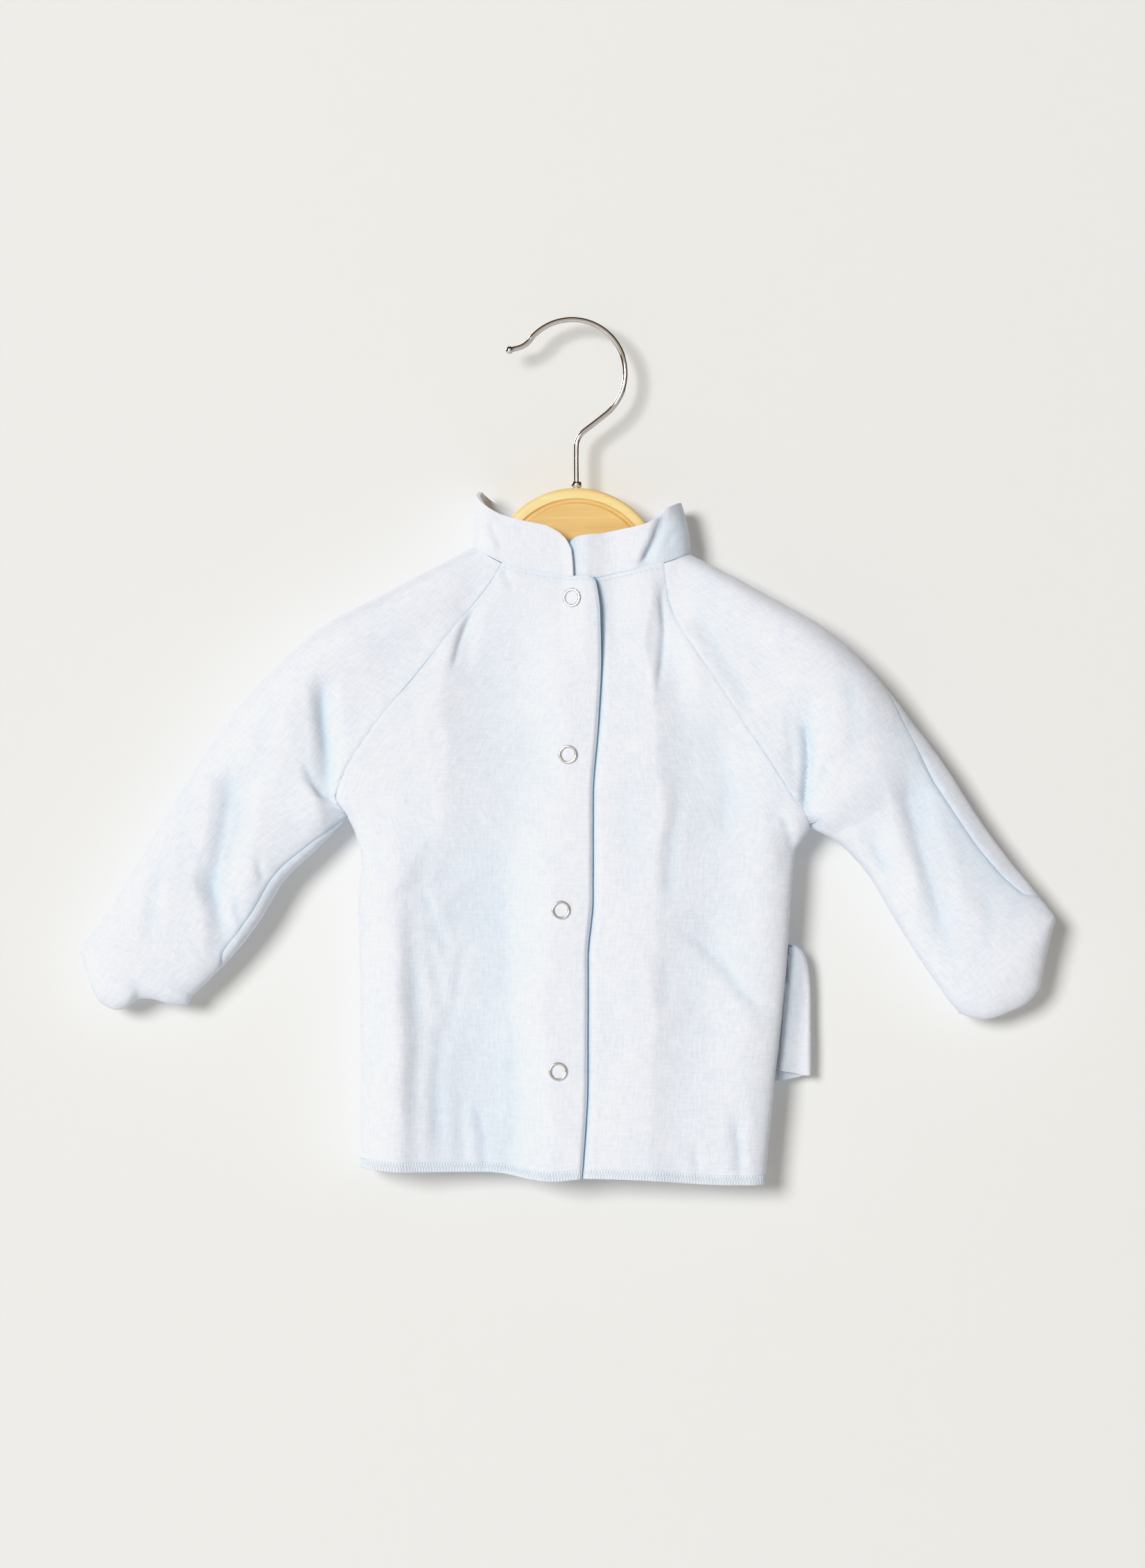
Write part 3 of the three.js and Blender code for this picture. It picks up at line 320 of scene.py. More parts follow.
# along (0 neck, 1 armpit, 2 last ring), ridge x and z, stand of the front and of the back, how far
# the over-arm and the underarm seam lie to the front, underarm x and z past the armpit
SLEEVES = {
    "right": np.array([
        (0, -51.8, -114, 0, 0, 2, 0, 0, 0), (0.146, -70, -124, 4, 4, 4, 0, 0, 0),
        (0.346, -100, -139.5, 5.5, 6, 4, 0, 0, 0), (0.528, -130, -156, 6.5, 7, 0, 0, 0, 0),
        (0.748, -155, -178, 8, 8, -3, 0, 0, 0), (0.906, -172, -197, 10, 9, -5, 0, 0, 0),
        (1, -181, -209, 12, 10.5, -6, 2, 0, 0), (1.2, -192, -226, 13, 11.5, -6, 9, -131, -265.5),
        (1.4, -207, -250, 13.5, 12, -6, 11, -147.5, -281.5),
        (1.6, -221, -273, 13.5, 12, -5, 11, -160, -302),
        (1.8, -235, -297, 12.5, 11.5, -3, 9, -176, -322),
        (2, -248.5, -315, 11, 10, 0, 0, -194, -340)], float),
    "left": np.array([
        (0, 57, -117.5, 0, 0, 1, 0, 0, 0), (0.114, 75, -127, 4, 4, 2, 0, 0, 0),
        (0.258, 100, -141, 5.5, 6, 2, 0, 0, 0), (0.443, 125, -155, 6.5, 7, 1, 0, 0, 0),
        (0.621, 145, -172.5, 7, 8, 3, 0, 0, 0), (0.83, 163, -194, 8, 7, 9, 0, 0, 0),
        (1, 178, -214, 12, 10.5, 12, 0, 0, 0), (1.2, 192, -234, 13, 11.5, 13, -4, 132, -262),
        (1.4, 206.5, -256, 13.5, 12, 13, -6, 147, -278),
        (1.6, 219.5, -273.5, 13.5, 12, 12, -6, 160, -299),
        (1.8, 231, -287.5, 12.5, 11.5, 9, -4, 174, -321),
        (2, 240.5, -299.5, 11, 10, 0, 0, 189, -343)], float)}
SLEEVE_END = {  # share from ridge to underarm, bulge past the last ring
    "right": np.array([
        (0, 3), (0.13, 12), (0.25, 19), (0.34, 22.4), (0.44, 22.6), (0.52, 20), (0.6, 12.6),
        (0.72, 9.4), (0.86, 8), (1, 4.7)], float),
    "left": np.array([
        (0, 2), (0.1, 6.5), (0.236, 13.4), (0.36, 20), (0.447, 24), (0.567, 25.2), (0.7, 23),
        (0.845, 19.5), (0.94, 14), (1, 7)], float)}
OUTWARD = {"right": -1, "left": 1}
COLLAR = np.array([  # share of the neck seam, height, lean of the top in x and y
    (0, 13.5, -1, 1), (0.012, 18.5, -0.8, 1), (0.03, 21.6, -0.5, 1), (0.06, 23.8, 0, 1),
    (0.11, 24, -1, 1), (0.16, 24.8, -2, 1.5), (0.2, 26.6, 0.5, 1.5), (0.235, 28, 4, 0),
    (0.27, 28.2, 3, -1), (0.3, 28.6, 1, -1), (0.36, 26, 0, -1.5), (0.48, 22.5, 0, -1.5),
    (0.6, 22.8, 0, -1.5), (0.657, 25, -1, -1), (0.723, 25.3, -4.6, 0), (0.76, 26.3, -4, 1.5),
    (0.8, 26.4, -1.5, 1.5), (0.825, 23, 0, 0.5), (0.86, 21, 0, 0.5), (0.95, 21.3, 0, 1), (0.975, 20.4, 0, 1),
    (0.99, 18.5, 0, 1), (1, 15, 0, 1)], float)
SNAPS = [(-1.9, -140), (-4, -218.5), (-7.5, -296.5), (-9, -377.5)]  # x and z of each middle
print("rows:", len(BODY), "body,", len(COLLAR), "collar,", len(SNAPS), "snaps")


# %% Curves through the tables
def smooth(t):
    t = np.clip(t, 0, 1)
    return t * t * (3 - 2 * t)


def curve(rows, column, by=0):
    """The smooth curve of one column of a table along another, flat past both ends."""
    x, y = rows[:, by], rows[:, column]
    if x[-1] < x[0]:
        x, y = x[::-1], y[::-1]
    slope = np.diff(y) / np.diff(x)
    both = slope[1:] * slope[:-1]
    inner = np.where(both > 0, 2 * both / np.where(both > 0, slope[1:] + slope[:-1], 1), 0)
    tangent = np.concatenate([slope[:1], inner, slope[-1:]])

    def value(place):
        place = np.clip(place, x[0], x[-1])
        i = np.clip(np.searchsorted(x, place) - 1, 0, len(x) - 2)
        span = x[i + 1] - x[i]
        t = (place - x[i]) / span
        ends = t * (1 - t) ** 2 * tangent[i] - t * t * (1 - t) * tangent[i + 1]
        return y[i] + (y[i + 1] - y[i]) * t * t * (3 - 2 * t) + span * ends

    return value


front_stand, back_stand = curve(BODY, 1), curve(BODY, 2)
run_on = {"right": curve(BODY, 3), "left": curve(BODY, 4)}
edge_x = {side: curve(rows, 1) for side, rows in EDGE.items()}
front_edge_x = curve(FRONT_EDGE, 1)
neck_front_z, neck_back_z, hem_z = curve(NECK_FRONT, 1), curve(NECK_BACK, 1), curve(HEM, 1)
print("front stands", float(front_stand(-185)), "mm out at the chest")

# %% [markdown]
# ## Folds
# Jersey hangs in long soft folds from the shoulders, with sharper creases where a sleeve is pushed
# together or a seam pulls. A cloth simulation would make folds too, but in places of its own. Here
# every fold has its known place, so each is put there one by one. The broad folds belong to the form
# of each panel. A crease is a trough along a line of points, deep in its middle and running out at
# its ends, with a low ridge along one side, as a real crease has.

# %% Broad folds: from x, z to x, z, widths of its left flank, floor and right flank, depth
FRONT_FOLDS = [
    (-40, -470, -42, -262, 48, 3, 26, 8.4), (-93, -470, -94, -276, 12, 2, 15, -2.8),
    (-29, -470, -31, -300, 7, 0, 9, 0.7), (-88, -300, -62, -262, 10, 4, 14, 1.2),
    (-38, -306, -33, -140, 32, 4, 28, 4.4),
    (-46, -137, -59, -176, 6, 0, 8, 1.4), (49, -128, 50, -200, 12, 0, 12, 3.2),
    (70, -186, 72, -338, 30, 0, 30, 4.7), (58, -310, 62, -470, 22, 4, 24, 3.2),
    (60, -298, 99, -354, 9, 0, 11, 1.3), (81, -392, 81, -450, 8, 0, 7, 1.0),
    (100, -240, 112, -276, 8, 0, 8, 1.2)]
BACK_FOLDS = [
    (-70, -440, -62, -250, 20, 6, 16, 3), (8, -440, 2, -210, 24, 4, 20, 2.6),
    (66, -440, 58, -260, 15, 2, 18, 2.8), (-52, -150, -84, -205, 9, 0, 9, 1.8),
    (50, -150, 74, -205, 9, 0, 9, 1.8)]
SLEEVE_FOLDS = {
    ("right", 1): [(-124, -180, -122, -262, 9, 0, 9, 3.4), (-170, -222, -178, -300, 13, 2, 12, 2.8),
                   (-184, -276, -178, -320, 9, 0, 8, 2.0)],
    ("right", -1): [(-132, -165, -128, -232, 10, 0, 10, 3), (-176, -215, -190, -305, 10, 0, 10, 2.8)],
    ("left", 1): [(116, -190, 118, -268, 12, 1, 8, 3.4), (166, -226, 190, -324, 12, 0, 12, 2.4),
                  (146, -254, 160, -286, 8, 0, 8, 1.6), (156, -188, 232, -302, 26, 5, 7, 2.8)],
    ("left", -1): [(118, -180, 120, -236, 10, 0, 10, 2.8), (170, -222, 196, -318, 11, 0, 11, 2.4)]}
COLLAR_FOLD = [(42.5, -96, 33, -124, 3.6, 0, 9, 4.2), (54, -84, 51, -126, 10, 0, 30, 5)]


def fold_depth(folds, x, z):
    """How far in the broad folds carry the cloth: each sinks over its left flank, keeps its depth
    over its floor and rises over its right flank, and runs out at both ends of its line."""
    total = np.zeros(np.broadcast(x, z).shape)
    for from_x, from_z, to_x, to_z, left, floor, right, depth in folds:
        dx, dz = to_x - from_x, to_z - from_z
        long = math.hypot(dx, dz)
        share = ((x - from_x) * dx + (z - from_z) * dz) / long**2
        across = ((x - from_x) * dz - (z - from_z) * dx) / long
        across = across if dz > 0 else -across
        across = across + 1.8 * np.sin(z / 16.3 + from_x) + 1.1 * np.sin(z / 6.9 + to_x)  # wanders a little
        uneven = 1 + 0.22 * np.sin(z / 21.7 + from_x * 1.7)
        sunk = smooth(np.clip(1 + across / left, 0, 1) ** 0.65)  # quick past the crest, then slower
        flanks = sunk * (1 - smooth((across - floor) / right))
        total = total + depth * uneven * flanks * smooth(share * 3 + 0.3) * smooth((1 - share) * 3 + 0.3)
    return total


# %% Creases: x, z along the line, width, depth, which is below 0 for a ridge
FRONT_CREASES = [
    ([(-37, -123), (-34, -131), (-31, -138)], 1.8, 0.6),
    ([(-50.8, -145), (-55, -153.5), (-59, -164), (-62, -178)], 1.9, 1.1),
    ([(-66, -163), (-78, -176), (-90, -190)], 2.4, 0.45),
    ([(-97, -287), (-88, -283), (-77, -279)], 3.0, -0.6),
    ([(-79, -281), (-71, -300), (-67, -312), (-63, -326)], 2.8, 0.5),
    ([(-79, -291), (-73, -306), (-72, -320), (-66, -346), (-63, -361)], 3.2, 0.55),
    ([(-54, -311), (-58, -325), (-60, -340), (-64, -363)], 2.8, 0.5),
    ([(-84, -296), (-81, -330), (-80, -372), (-82, -428)], 4.6, 0.8),
    ([(-66, -345), (-70, -385), (-69, -426)], 3.8, 0.8),
    ([(-57, -384), (-58, -404), (-56, -428)], 3.2, 0.5),
    ([(-104, -262), (-100, -270), (-94, -277)], 2.6, 0.7),
    ([(-50, -392), (-47, -410), (-45, -431)], 2.6, 0.8),
    ([(-33, -338), (-31, -380), (-30, -431)], 2.6, 0.35),
    ([(44, -131), (43, -140), (44.5, -156), (43, -174), (40, -190)], 2.0, 1.1),
    ([(50, -226), (52, -243), (48, -262), (46, -298)], 4, 0.8),
    ([(44, -318), (46, -334), (44, -350)], 4, 0.6),
    ([(48, -302), (60, -312), (73, -322), (85, -339), (96, -348)], 2.6, 0.7),
    ([(104, -248), (107, -258), (110, -268)], 2.0, 0.8),
    ([(80, -400), (82, -416), (83, -434)], 2.6, 0.8),
    ([(59, -412), (61, -424), (62, -434)], 2.4, 0.6),
    ([(72, -206), (76, -236), (74, -262)], 5, 0.5),
    ([(24, -215), (27, -255), (25, -300)], 6, 0.4)]
BACK_CREASES = [
    ([(-34, -128), (-46, -148), (-58, -172)], 2.6, 1.3),
    ([(38, -128), (47, -146), (60, -170)], 2.6, 1.2),
    ([(-88, -200), (-76, -224), (-70, -250)], 3, 1.0),
    ([(92, -214), (80, -236), (74, -262)], 3, 1.1),
    ([(-92, -288), (-74, -306), (-60, -330)], 2.6, 1.0),
    ([(98, -292), (84, -316), (76, -344)], 2.8, 1.0),
    ([(-30, -300), (-33, -360), (-31, -431)], 3, 1.0),
    ([(24, -330), (28, -380), (27, -431)], 2.6, 0.9),
    ([(-8, -180), (-12, -230), (-8, -280)], 5, 0.7),
    ([(50, -390), (49, -432)], 2.2, 0.8),
    ([(-86, -360), (-88, -427)], 2.6, 0.9)]
SLEEVE_CREASES = {
    ("right", 1): [
        ([(-128, -178), (-126, -206), (-124, -226), (-123, -238)], 2.6, 1.2),
        ([(-136, -221), (-133, -231), (-128, -238), (-124, -243)], 2.0, 1.2),
        ([(-171, -218), (-174, -240), (-179, -266), (-182, -286), (-178, -312)], 3.0, 0.7),
        ([(-160, -270), (-157, -284)], 2.0, 0.9), ([(-172, -290), (-168, -305)], 2.0, 0.8),
        ([(-150, -186), (-158, -214), (-160, -240)], 5, 0.7),
        ([(-206, -262), (-212, -290), (-214, -316)], 4, 0.8),
        ([(-222, -330), (-219, -343)], 3.4, 0.8)],
    ("right", -1): [
        ([(-128, -168), (-131, -204), (-126, -232)], 2.8, 1.6),
        ([(-178, -216), (-184, -250), (-190, -290)], 2.8, 1.3),
        ([(-152, -196), (-160, -226)], 3.2, 0.8), ([(-166, -280), (-172, -304)], 2.4, 0.9),
        ([(-210, -270), (-216, -306)], 3.4, 0.9)],
    ("left", 1): [
        ([(114, -200), (116, -212), (116.5, -224), (115.5, -236), (114.5, -249)], 2.1, 2.9),
        ([(126, -222), (122.5, -232), (117, -243)], 1.9, 1.2),
        ([(165, -225), (167, -245), (172, -262), (177, -280), (190, -322)], 3.2, 0.8),
        ([(148, -261), (153, -271), (158, -281)], 2.2, 0.9),
        ([(58, -142), (68, -160), (82, -184), (91, -206)], 4.5, 0.8),
        ([(204, -284), (209, -300), (207, -318)], 4, 0.5),
        ([(136, -176), (140, -200), (138, -222)], 4, 0.6)],
    ("left", -1): [
        ([(119, -184), (122, -208), (118, -234)], 2.8, 1.5),
        ([(172, -226), (182, -262), (194, -306)], 3.2, 1.2),
        ([(146, -186), (150, -214)], 3.2, 0.8), ([(160, -272), (168, -296)], 2.4, 0.9),
        ([(206, -276), (212, -308)], 3.4, 0.8)]}
COLLAR_CREASES = [
    ([(41, -100), (38.5, -109), (35.3, -116), (32, -124)], 1.5, 0.9),
    ([(52, -102), (48, -109), (45, -115)], 1.4, 0.5),
    ([(-44, -100), (-41, -108), (-37, -116)], 1.6, 0.6)]


def crease_depth(creases, x, z):
    """How far in the creases carry the cloth at (x, z), and out where it is below 0."""
    total = np.zeros(np.broadcast(x, z).shape)
    for line, width, depth in creases:
        points = np.array(line, float)
        steps = np.hypot(*np.diff(points, axis=0).T)
        before = np.concatenate([[0], np.cumsum(steps)])
        near = np.full(total.shape, 1e9)
        share = np.zeros(total.shape)
        across = np.zeros(total.shape)
        for (ax, az), (bx, bz), long, start in zip(points, points[1:], steps, before):
            t = np.clip(((x - ax) * (bx - ax) + (z - az) * (bz - az)) / long**2, 0, 1)
            gap = np.hypot(x - ax - t * (bx - ax), z - az - t * (bz - az))
            side = np.sign((x - ax) * (bz - az) - (z - az) * (bx - ax))
            closer = gap < near
            near = np.where(closer, gap, near)
            across = np.where(closer, gap * side, across)
            share = np.where(closer, (start + t * long) / before[-1], share)
        fade = smooth(share * 3.2 + 0.12) * smooth((1 - share) * 3.2 + 0.12)
        trough = np.exp(-((across / width) ** 2))
        ridge = 0.42 * np.exp(-(((across - 1.9 * width) / (1.1 * width)) ** 2))
        total = total + depth * fade * (trough - ridge)
    return total


def unevenness(x, z):
    """The slight waviness of cloth that lies free, some tenths of a millimetre."""
    broad = np.sin(x / 9.1 + 1.3 * np.sin(z / 23)) * np.sin(z / 31 + 0.7 * np.sin(x / 17))
    fine = np.sin(x / 3.7 + 2.1 * np.sin(z / 13)) * np.sin(z / 11 + 1.1)
    return 0.3 * broad + 0.11 * fine


print("creases:", len(FRONT_CREASES), "front,", len(BACK_CREASES), "back,",
      sum(map(len, SLEEVE_CREASES.values())), "sleeves")


# %% Surfaces of the fronts and the back
def oval(x, z):
    """Share of its full stand that the flat section of the body has at x. It reaches 0 a hair
    before the side edge, because the section is so steep there that a rounding error would show."""
    left = x >= CENTRE_X
    edge = np.where(left, edge_x["left"](z), edge_x["right"](z))
    run = np.where(left, run_on["left"](z), run_on["right"](z))
    out = np.minimum(1, 1.0004 * np.abs(x - CENTRE_X) / (np.abs(edge - CENTRE_X) + run))
    return (1 - out**ROUNDNESS) ** (1 / ROUNDNESS)


def front_y(x, z):
    full = oval(x, z)
    return -front_stand(z) * full + fold_depth(FRONT_FOLDS, x, z) * smooth(full * 1.6)


def back_y(x, z):
    full = oval(x, z)
    return back_stand(z) * full - fold_depth(BACK_FOLDS, x, z) * smooth(full * 1.6)


def lift_y(x, z):
    """The top front's edge leans forward above the first snap."""
    def rise(t):  # 0 before a place and even from there on, with a soft bend
        return np.log1p(np.exp(t * 1.5)) / 1.5
    return -0.3 * (rise(x + 6.5) - rise(x - 4.5)) * smooth((z + 182) / 36)  # steady from x -6.5 to 4.5


BEHIND = 3.4  # from the middle of the top front to the middle of the under one


def top_y(x, z):
    """The top front lies on the under one at its folded edge, save above the first snap."""
    inside = (front_edge_x(z) - x) / 2
    lean = (0.8 + 0.7 * smooth((-150 - z) / 70)) * smooth(1 - inside)
    return front_y(x, z) + lift_y(x, z) + lean


def under_y(x, z):
    """The under front lies behind the top one, and comes forward again past its folded edge."""
    past = x - front_edge_x(z)
    close = 0.55 * smooth((-140 - z) / 60)  # the share that does so at once
    behind = 1 - close * smooth((past - 0.3) / 4) - (1 - close) * smooth(past / 28)
    return front_y(x, z) + BEHIND * behind + lift_y(x, z) * (1 - smooth((x - 3) / 18))


print("front of the chest at y", round(float(front_y(0.0, -185.0)), 1))


# %% Rings of a sleeve
PLACES = np.linspace(0, 1.3, 651)
SOFT_REACH = 80  # samples to each side, a sixth of the way from neck to armpit


def seam_stand(side, face):
    """How far the raglan seam stands out along the sleeve: at the seam itself, and away from it,
    where its sudden end at the armpit is drawn out so that no line runs across the sleeve."""
    z = NECK_Z + (ARMPIT_Z[side] - NECK_Z) * np.minimum(PLACES, 1)
    surface = front_y if face > 0 else back_y
    exact = np.where(PLACES < 1, np.abs(surface(edge_x[side](z), z)), 0)
    padded = np.concatenate([np.full(SOFT_REACH, exact[0]), exact, np.zeros(SOFT_REACH)])
    count = 2 * SOFT_REACH + 1
    soft = np.convolve(padded, np.ones(count) / count, "valid")
    return exact, soft


def sleeve_curves(side):
    rows, armpit_z = SLEEVES[side], ARMPIT_Z[side]
    arm = np.vstack([[1, *[0] * 6, edge_x[side](armpit_z), armpit_z], rows[rows[:, 0] > 1]])
    names = ("top_x", "top_z", "front", "back", "seam", "under")
    made = {name: curve(rows, k + 1) for k, name in enumerate(names)}
    made.update(low_x=curve(arm, 7), low_z=curve(arm, 8), end=curve(SLEEVE_END[side], 1))
    made.update({face: seam_stand(side, face) for face in (1, -1)})
    return made


SLEEVE = {side: sleeve_curves(side) for side in SLEEVES}


def sleeve_point(side, along, turn):
    """A point of a sleeve: along is 0 at the neck, 1 at the armpit, 2 at the last ring and 3 at
    the tip. turn is 0 on the ridge and 1 or -1 under the arm, by the front or by the back."""
    ways = SLEEVE[side]
    along, turn = np.broadcast_arrays(np.asarray(along, float), np.asarray(turn, float))
    place, past = np.minimum(along, 2), np.clip(along - 2, 0, 1)
    turn = np.where(turn > 1, turn - 2, np.where(turn < -1, turn + 2, turn))
    q, front = np.abs(turn), turn >= 0
    top_x, top_z = ways["top_x"](place), ways["top_z"](place)
    cap_z = NECK_Z + (ARMPIT_Z[side] - NECK_Z) * np.minimum(place, 1)
    low_x = np.where(place < 1, edge_x[side](cap_z), ways["low_x"](place))
    low_z = np.where(place < 1, cap_z, ways["low_z"](place))
    half_oval, tube = 1 - np.cos(math.pi * q / 2), smooth((place - 0.6) / 0.4)
    share = half_oval + ((1 - np.cos(math.pi * q)) / 2 - half_oval) * tube
    chord_x, chord_z = low_x - top_x, low_z - top_z
    bulge = ways["end"](share) * past / np.hypot(chord_x, chord_z)
    x = top_x + chord_x * share - OUTWARD[side] * chord_z * bulge
    z = top_z + chord_z * share + OUTWARD[side] * chord_x * bulge
    near = smooth((q - 0.72) / 0.28)
    exact, soft = (np.where(front, *(np.interp(place, PLACES, ways[face][k]) for face in (1, -1)))
                   for k in (0, 1))
    bow = (1 - np.abs(np.cos(math.pi * q)) ** FLATNESS) ** (1 / FLATNESS)
    rise = (1 - np.abs(np.cos(math.pi * q / 2)) ** FLATNESS) ** (1 / FLATNESS)
    close = np.sqrt(np.maximum(0, 1 - past**2))
    folds = np.where(front, *(fold_depth(SLEEVE_FOLDS[side, face], x, z) for face in (1, -1)))
    stand = np.where(front, ways["front"](place), ways["back"](place))
    seam = (exact * near + soft * (1 - near)) * rise
    cap = 1 - smooth((place - 0.75) / 0.35)  # where the sleeve lies flat with the front or back
    hump = bow * (1 - cap * smooth((q - 0.3) / 0.7))
    depth = seam + (stand * hump - folds * smooth(bow * 1.5)) * close
    return np.stack([x, np.where(front, -1, 1) * np.maximum(depth, 0), z], -1)


print("right sleeve's tip:", sleeve_point("right", 3, 0.5).round(1))


# %% [markdown]
# ## Cloth pieces
# Each cut piece starts as a grid primitive, because a grid has even rows for the knit to run along.
# Its points are laid on the panel's surface, then moved in and out along its own normals by the
# creases, by a dip and small puckers along the sewn edges, and by the slight waviness of free cloth.
# Solidify gives it the thickness of brushed jersey, and a small bevel rounds the cut edges. The
# grid's UV map runs with the knit, in millimetres, and a point attribute holds painted shade: the
# material darkens the cloth and deepens its blue in its folds, creases, seams and gaps.

# %% From a grid of points to a sheet of cloth
def grid_normals(points):
    down, across = np.gradient(points, axis=0), np.gradient(points, axis=1)
    normal = np.cross(across, down)
    return normal / np.linalg.norm(normal, axis=-1, keepdims=True)


def seam_work(distance, along, depth=0.3, pucker=0.09, pitch=8.5):
    """The dip of a sewn edge, and the puckers that run out from it."""
    ripple = np.sin(along * 2 * math.pi / pitch + 1.7 * np.sin(along / 19))
    return depth * np.exp(-((distance / 0.7) ** 2)) + pucker * ripple * np.exp(-distance / 5)


def cloth_sheet(points, painted_shade, thickness=CLOTH, edge=0.35, clamp=None):
    """A sheet on a grid of points. clamp may move its points once it has its thickness."""
    sheet = new_grid(points)
    mesh = sheet.data
    width = np.linalg.norm(np.diff(points, axis=1), axis=-1).mean(0)
    length = np.linalg.norm(np.diff(points, axis=0), axis=-1).mean(1)
    u = np.concatenate([[0], np.cumsum(width)])
    v = np.concatenate([[0], np.cumsum(length)])
    knit = np.stack(np.broadcast_arrays(u[None, :], v[:, None]), -1).reshape(-1, 2)
    loops = np.zeros(len(mesh.loops), np.int32)
    mesh.loops.foreach_get("vertex_index", loops)
    mesh.uv_layers[0].name = "Knit"
    mesh.uv_layers[0].data.foreach_set("uv", knit[loops].astype(np.float32).ravel())
    # The painted shade is kept in a point attribute that the material reads.
    painted_shade_attribute = mesh.attributes.new("PaintedShade", "FLOAT", "POINT")
    painted_shade_attribute.data.foreach_set("value", np.clip(painted_shade, 0, 2).astype(np.float32).ravel())
    mesh.update()
    apply_modifier(sheet, "SOLIDIFY", thickness=thickness * MM, offset=0)
    if clamp:
        co = np.zeros(len(mesh.vertices) * 3, np.float32)
        mesh.vertices.foreach_get("co", co)
        set_points(mesh, clamp(co.reshape(-1, 3) / MM))
    apply_modifier(sheet, "BEVEL", width=edge * MM, segments=2, limit_method="ANGLE",
                   angle_limit=math.radians(50), use_clamp_overlap=True)
    only(sheet)
    bpy.ops.object.shade_smooth()
    return sheet


# %% [markdown]
# ## Jersey
# Brushed jersey shows fine broken threads along and across, a soft nap and a slight mottle. A
# picture of knit would repeat and need a file. Two noises, each stretched along one way of the UV
# map, give the threads instead, and two on Object coordinates give the mottle and the nap. The
# threads and the nap also lift the surface a little, and a thin sheen catches light at the edges.

# %% Jersey
def jersey(name, light, shade):
    """Fine threads both ways, a soft nap, a slight mottle and painted shade in the cloth's hollows."""
    s = Shader(name)
    knit = s.add("UVMap", {"uv_map": "Knit"}).outputs[0]
    place = s.add("TexCoord").outputs["Object"]
    down = s.add("TexNoise", Vector=s.add("Mapping", Vector=knit, Scale=(1.0, 0.16, 1.0)).outputs[0],
                 Scale=0.85, Detail=5.0, Roughness=0.68).outputs[0]
    over = s.add("TexNoise", Vector=s.add("Mapping", Vector=knit, Scale=(0.2, 1.0, 1.0)).outputs[0],
                 Scale=0.8, Detail=5.0, Roughness=0.68).outputs[0]
    mottle = s.add("TexNoise", Vector=place, Scale=95.0, Detail=4.0, Roughness=0.6).outputs[0]
    nap = s.add("TexNoise", Vector=place, Scale=2600.0, Detail=3.0, Roughness=0.7).outputs[0]
    threads = s.maths("ADD", s.maths("MULTIPLY", down, 0.5), s.maths("MULTIPLY", over, 0.38))
    spots = s.maths("ADD", threads, s.maths("MULTIPLY", mottle, 0.12))
    plain = s.mix(s.add("MapRange", Value=spots, From_Min=0.36, From_Max=0.64).outputs[0], shade, light)
    # Painted shade: where the point attribute says so, the cloth is darkened and turned bluer, as in shade.
    painted_shade = s.add("Attribute", {"attribute_name": "PaintedShade"}).outputs["Fac"]
    blue = s.mix(painted_shade, plain, s.tint(plain, rgb(0.905, 0.96, 0.99)))
    deep = s.maths("SUBTRACT", painted_shade, 1.0)  # painted shade runs up to 2, and its second half paints a deeper blue shade
    colour = s.mix(deep, blue, s.tint(blue, rgb(0.8, 0.92, 0.985)))
    height = s.maths("ADD", threads, s.maths("MULTIPLY", nap, 0.22))
    bump = s.add("Bump", Strength=0.5, Distance=0.0007, Height=height)
    rough = s.add("MapRange", Value=nap, To_Min=0.84, To_Max=0.98).outputs[0]
    s.set(Base_Color=colour, Roughness=rough, Normal=bump.outputs[0], Sheen_Weight=0.15,
          Sheen_Roughness=0.5)
    return s.material


JERSEY = jersey("baby_blue_cloth", rgb(0.904, 0.917, 0.957), rgb(0.808, 0.843, 0.9))
print("jersey:", len(JERSEY.node_tree.nodes), "nodes")


# %% [markdown]
# ## Fronts and back
# The three panels meet at the side seams and at the raglan seams. Each could be cut out of one
# large sheet with a bisect, but then its rows would run off its slanting edges. Its grid is
# stretched between its two side edges instead, so that its edges are rows of points.

# %% Grids of the panels
CELL = 1.5  # spacing of the cloth's points
CAP_LENGTH, SKIRT_LENGTH = 130, 180  # from neck to armpit and from armpit to hem
SIDE_STEPS = [0.15, 0.6, 1.3, 2.4, 3.8, 5.4]  # closer where the cloth turns at a side seam
EDGE_STEPS = [0.4, 0.9, 1.4, 1.9, 2.4, 2.9, 3.6]  # and along the folded front edge
NECK_ROW = 2.4  # how far below the collar its row of stitches runs
FOLD_SHADE, CREASE_SHADE = 20, 2.2  # depth of a broad fold or a crease at which its painted shade is full
SIDE_SEAM_TOP = -246


def shares_of_rows():
    """Places of the rows: 0 at the neck, 1 at the armpit and 2 at the hem."""
    cap, skirt = round(CAP_LENGTH / CELL), round(SKIRT_LENGTH / CELL)
    return np.concatenate([np.arange(cap) / cap, 1 + np.arange(skirt + 1) / skirt])


def level(neck, armpit, hem, share):
    return np.where(share < 1, neck + (armpit - neck) * share, armpit + (hem - armpit) * (share - 1))


def raglan_gap(share):
    return np.where(share > 1, 0, 0.02 + 0.2 * smooth((share - 0.86) * 7))


def sewn_edge(side, share):
    z = level(NECK_Z, ARMPIT_Z[side], HEM_Z[side], share)
    slope = np.where(share < 1, (edge_x[side](z + 1) - edge_x[side](z - 1)) / 2, 0)
    inward = 1 if side == "right" else -1
    return np.stack([edge_x[side](z) + inward * raglan_gap(share) * np.hypot(1, slope), z], -1)


def front_edge(share):
    z = level(NECK_FRONT_Z, ARMPIT_MEAN_Z, HEM_Z["middle"], share)
    return np.stack([front_edge_x(z), z], -1)


def under_edge(share):
    return front_edge(share) - np.array([UNDERLAP, 0])


def right_edge(share):
    return sewn_edge("right", share)


def left_edge(share):
    return sewn_edge("left", share)


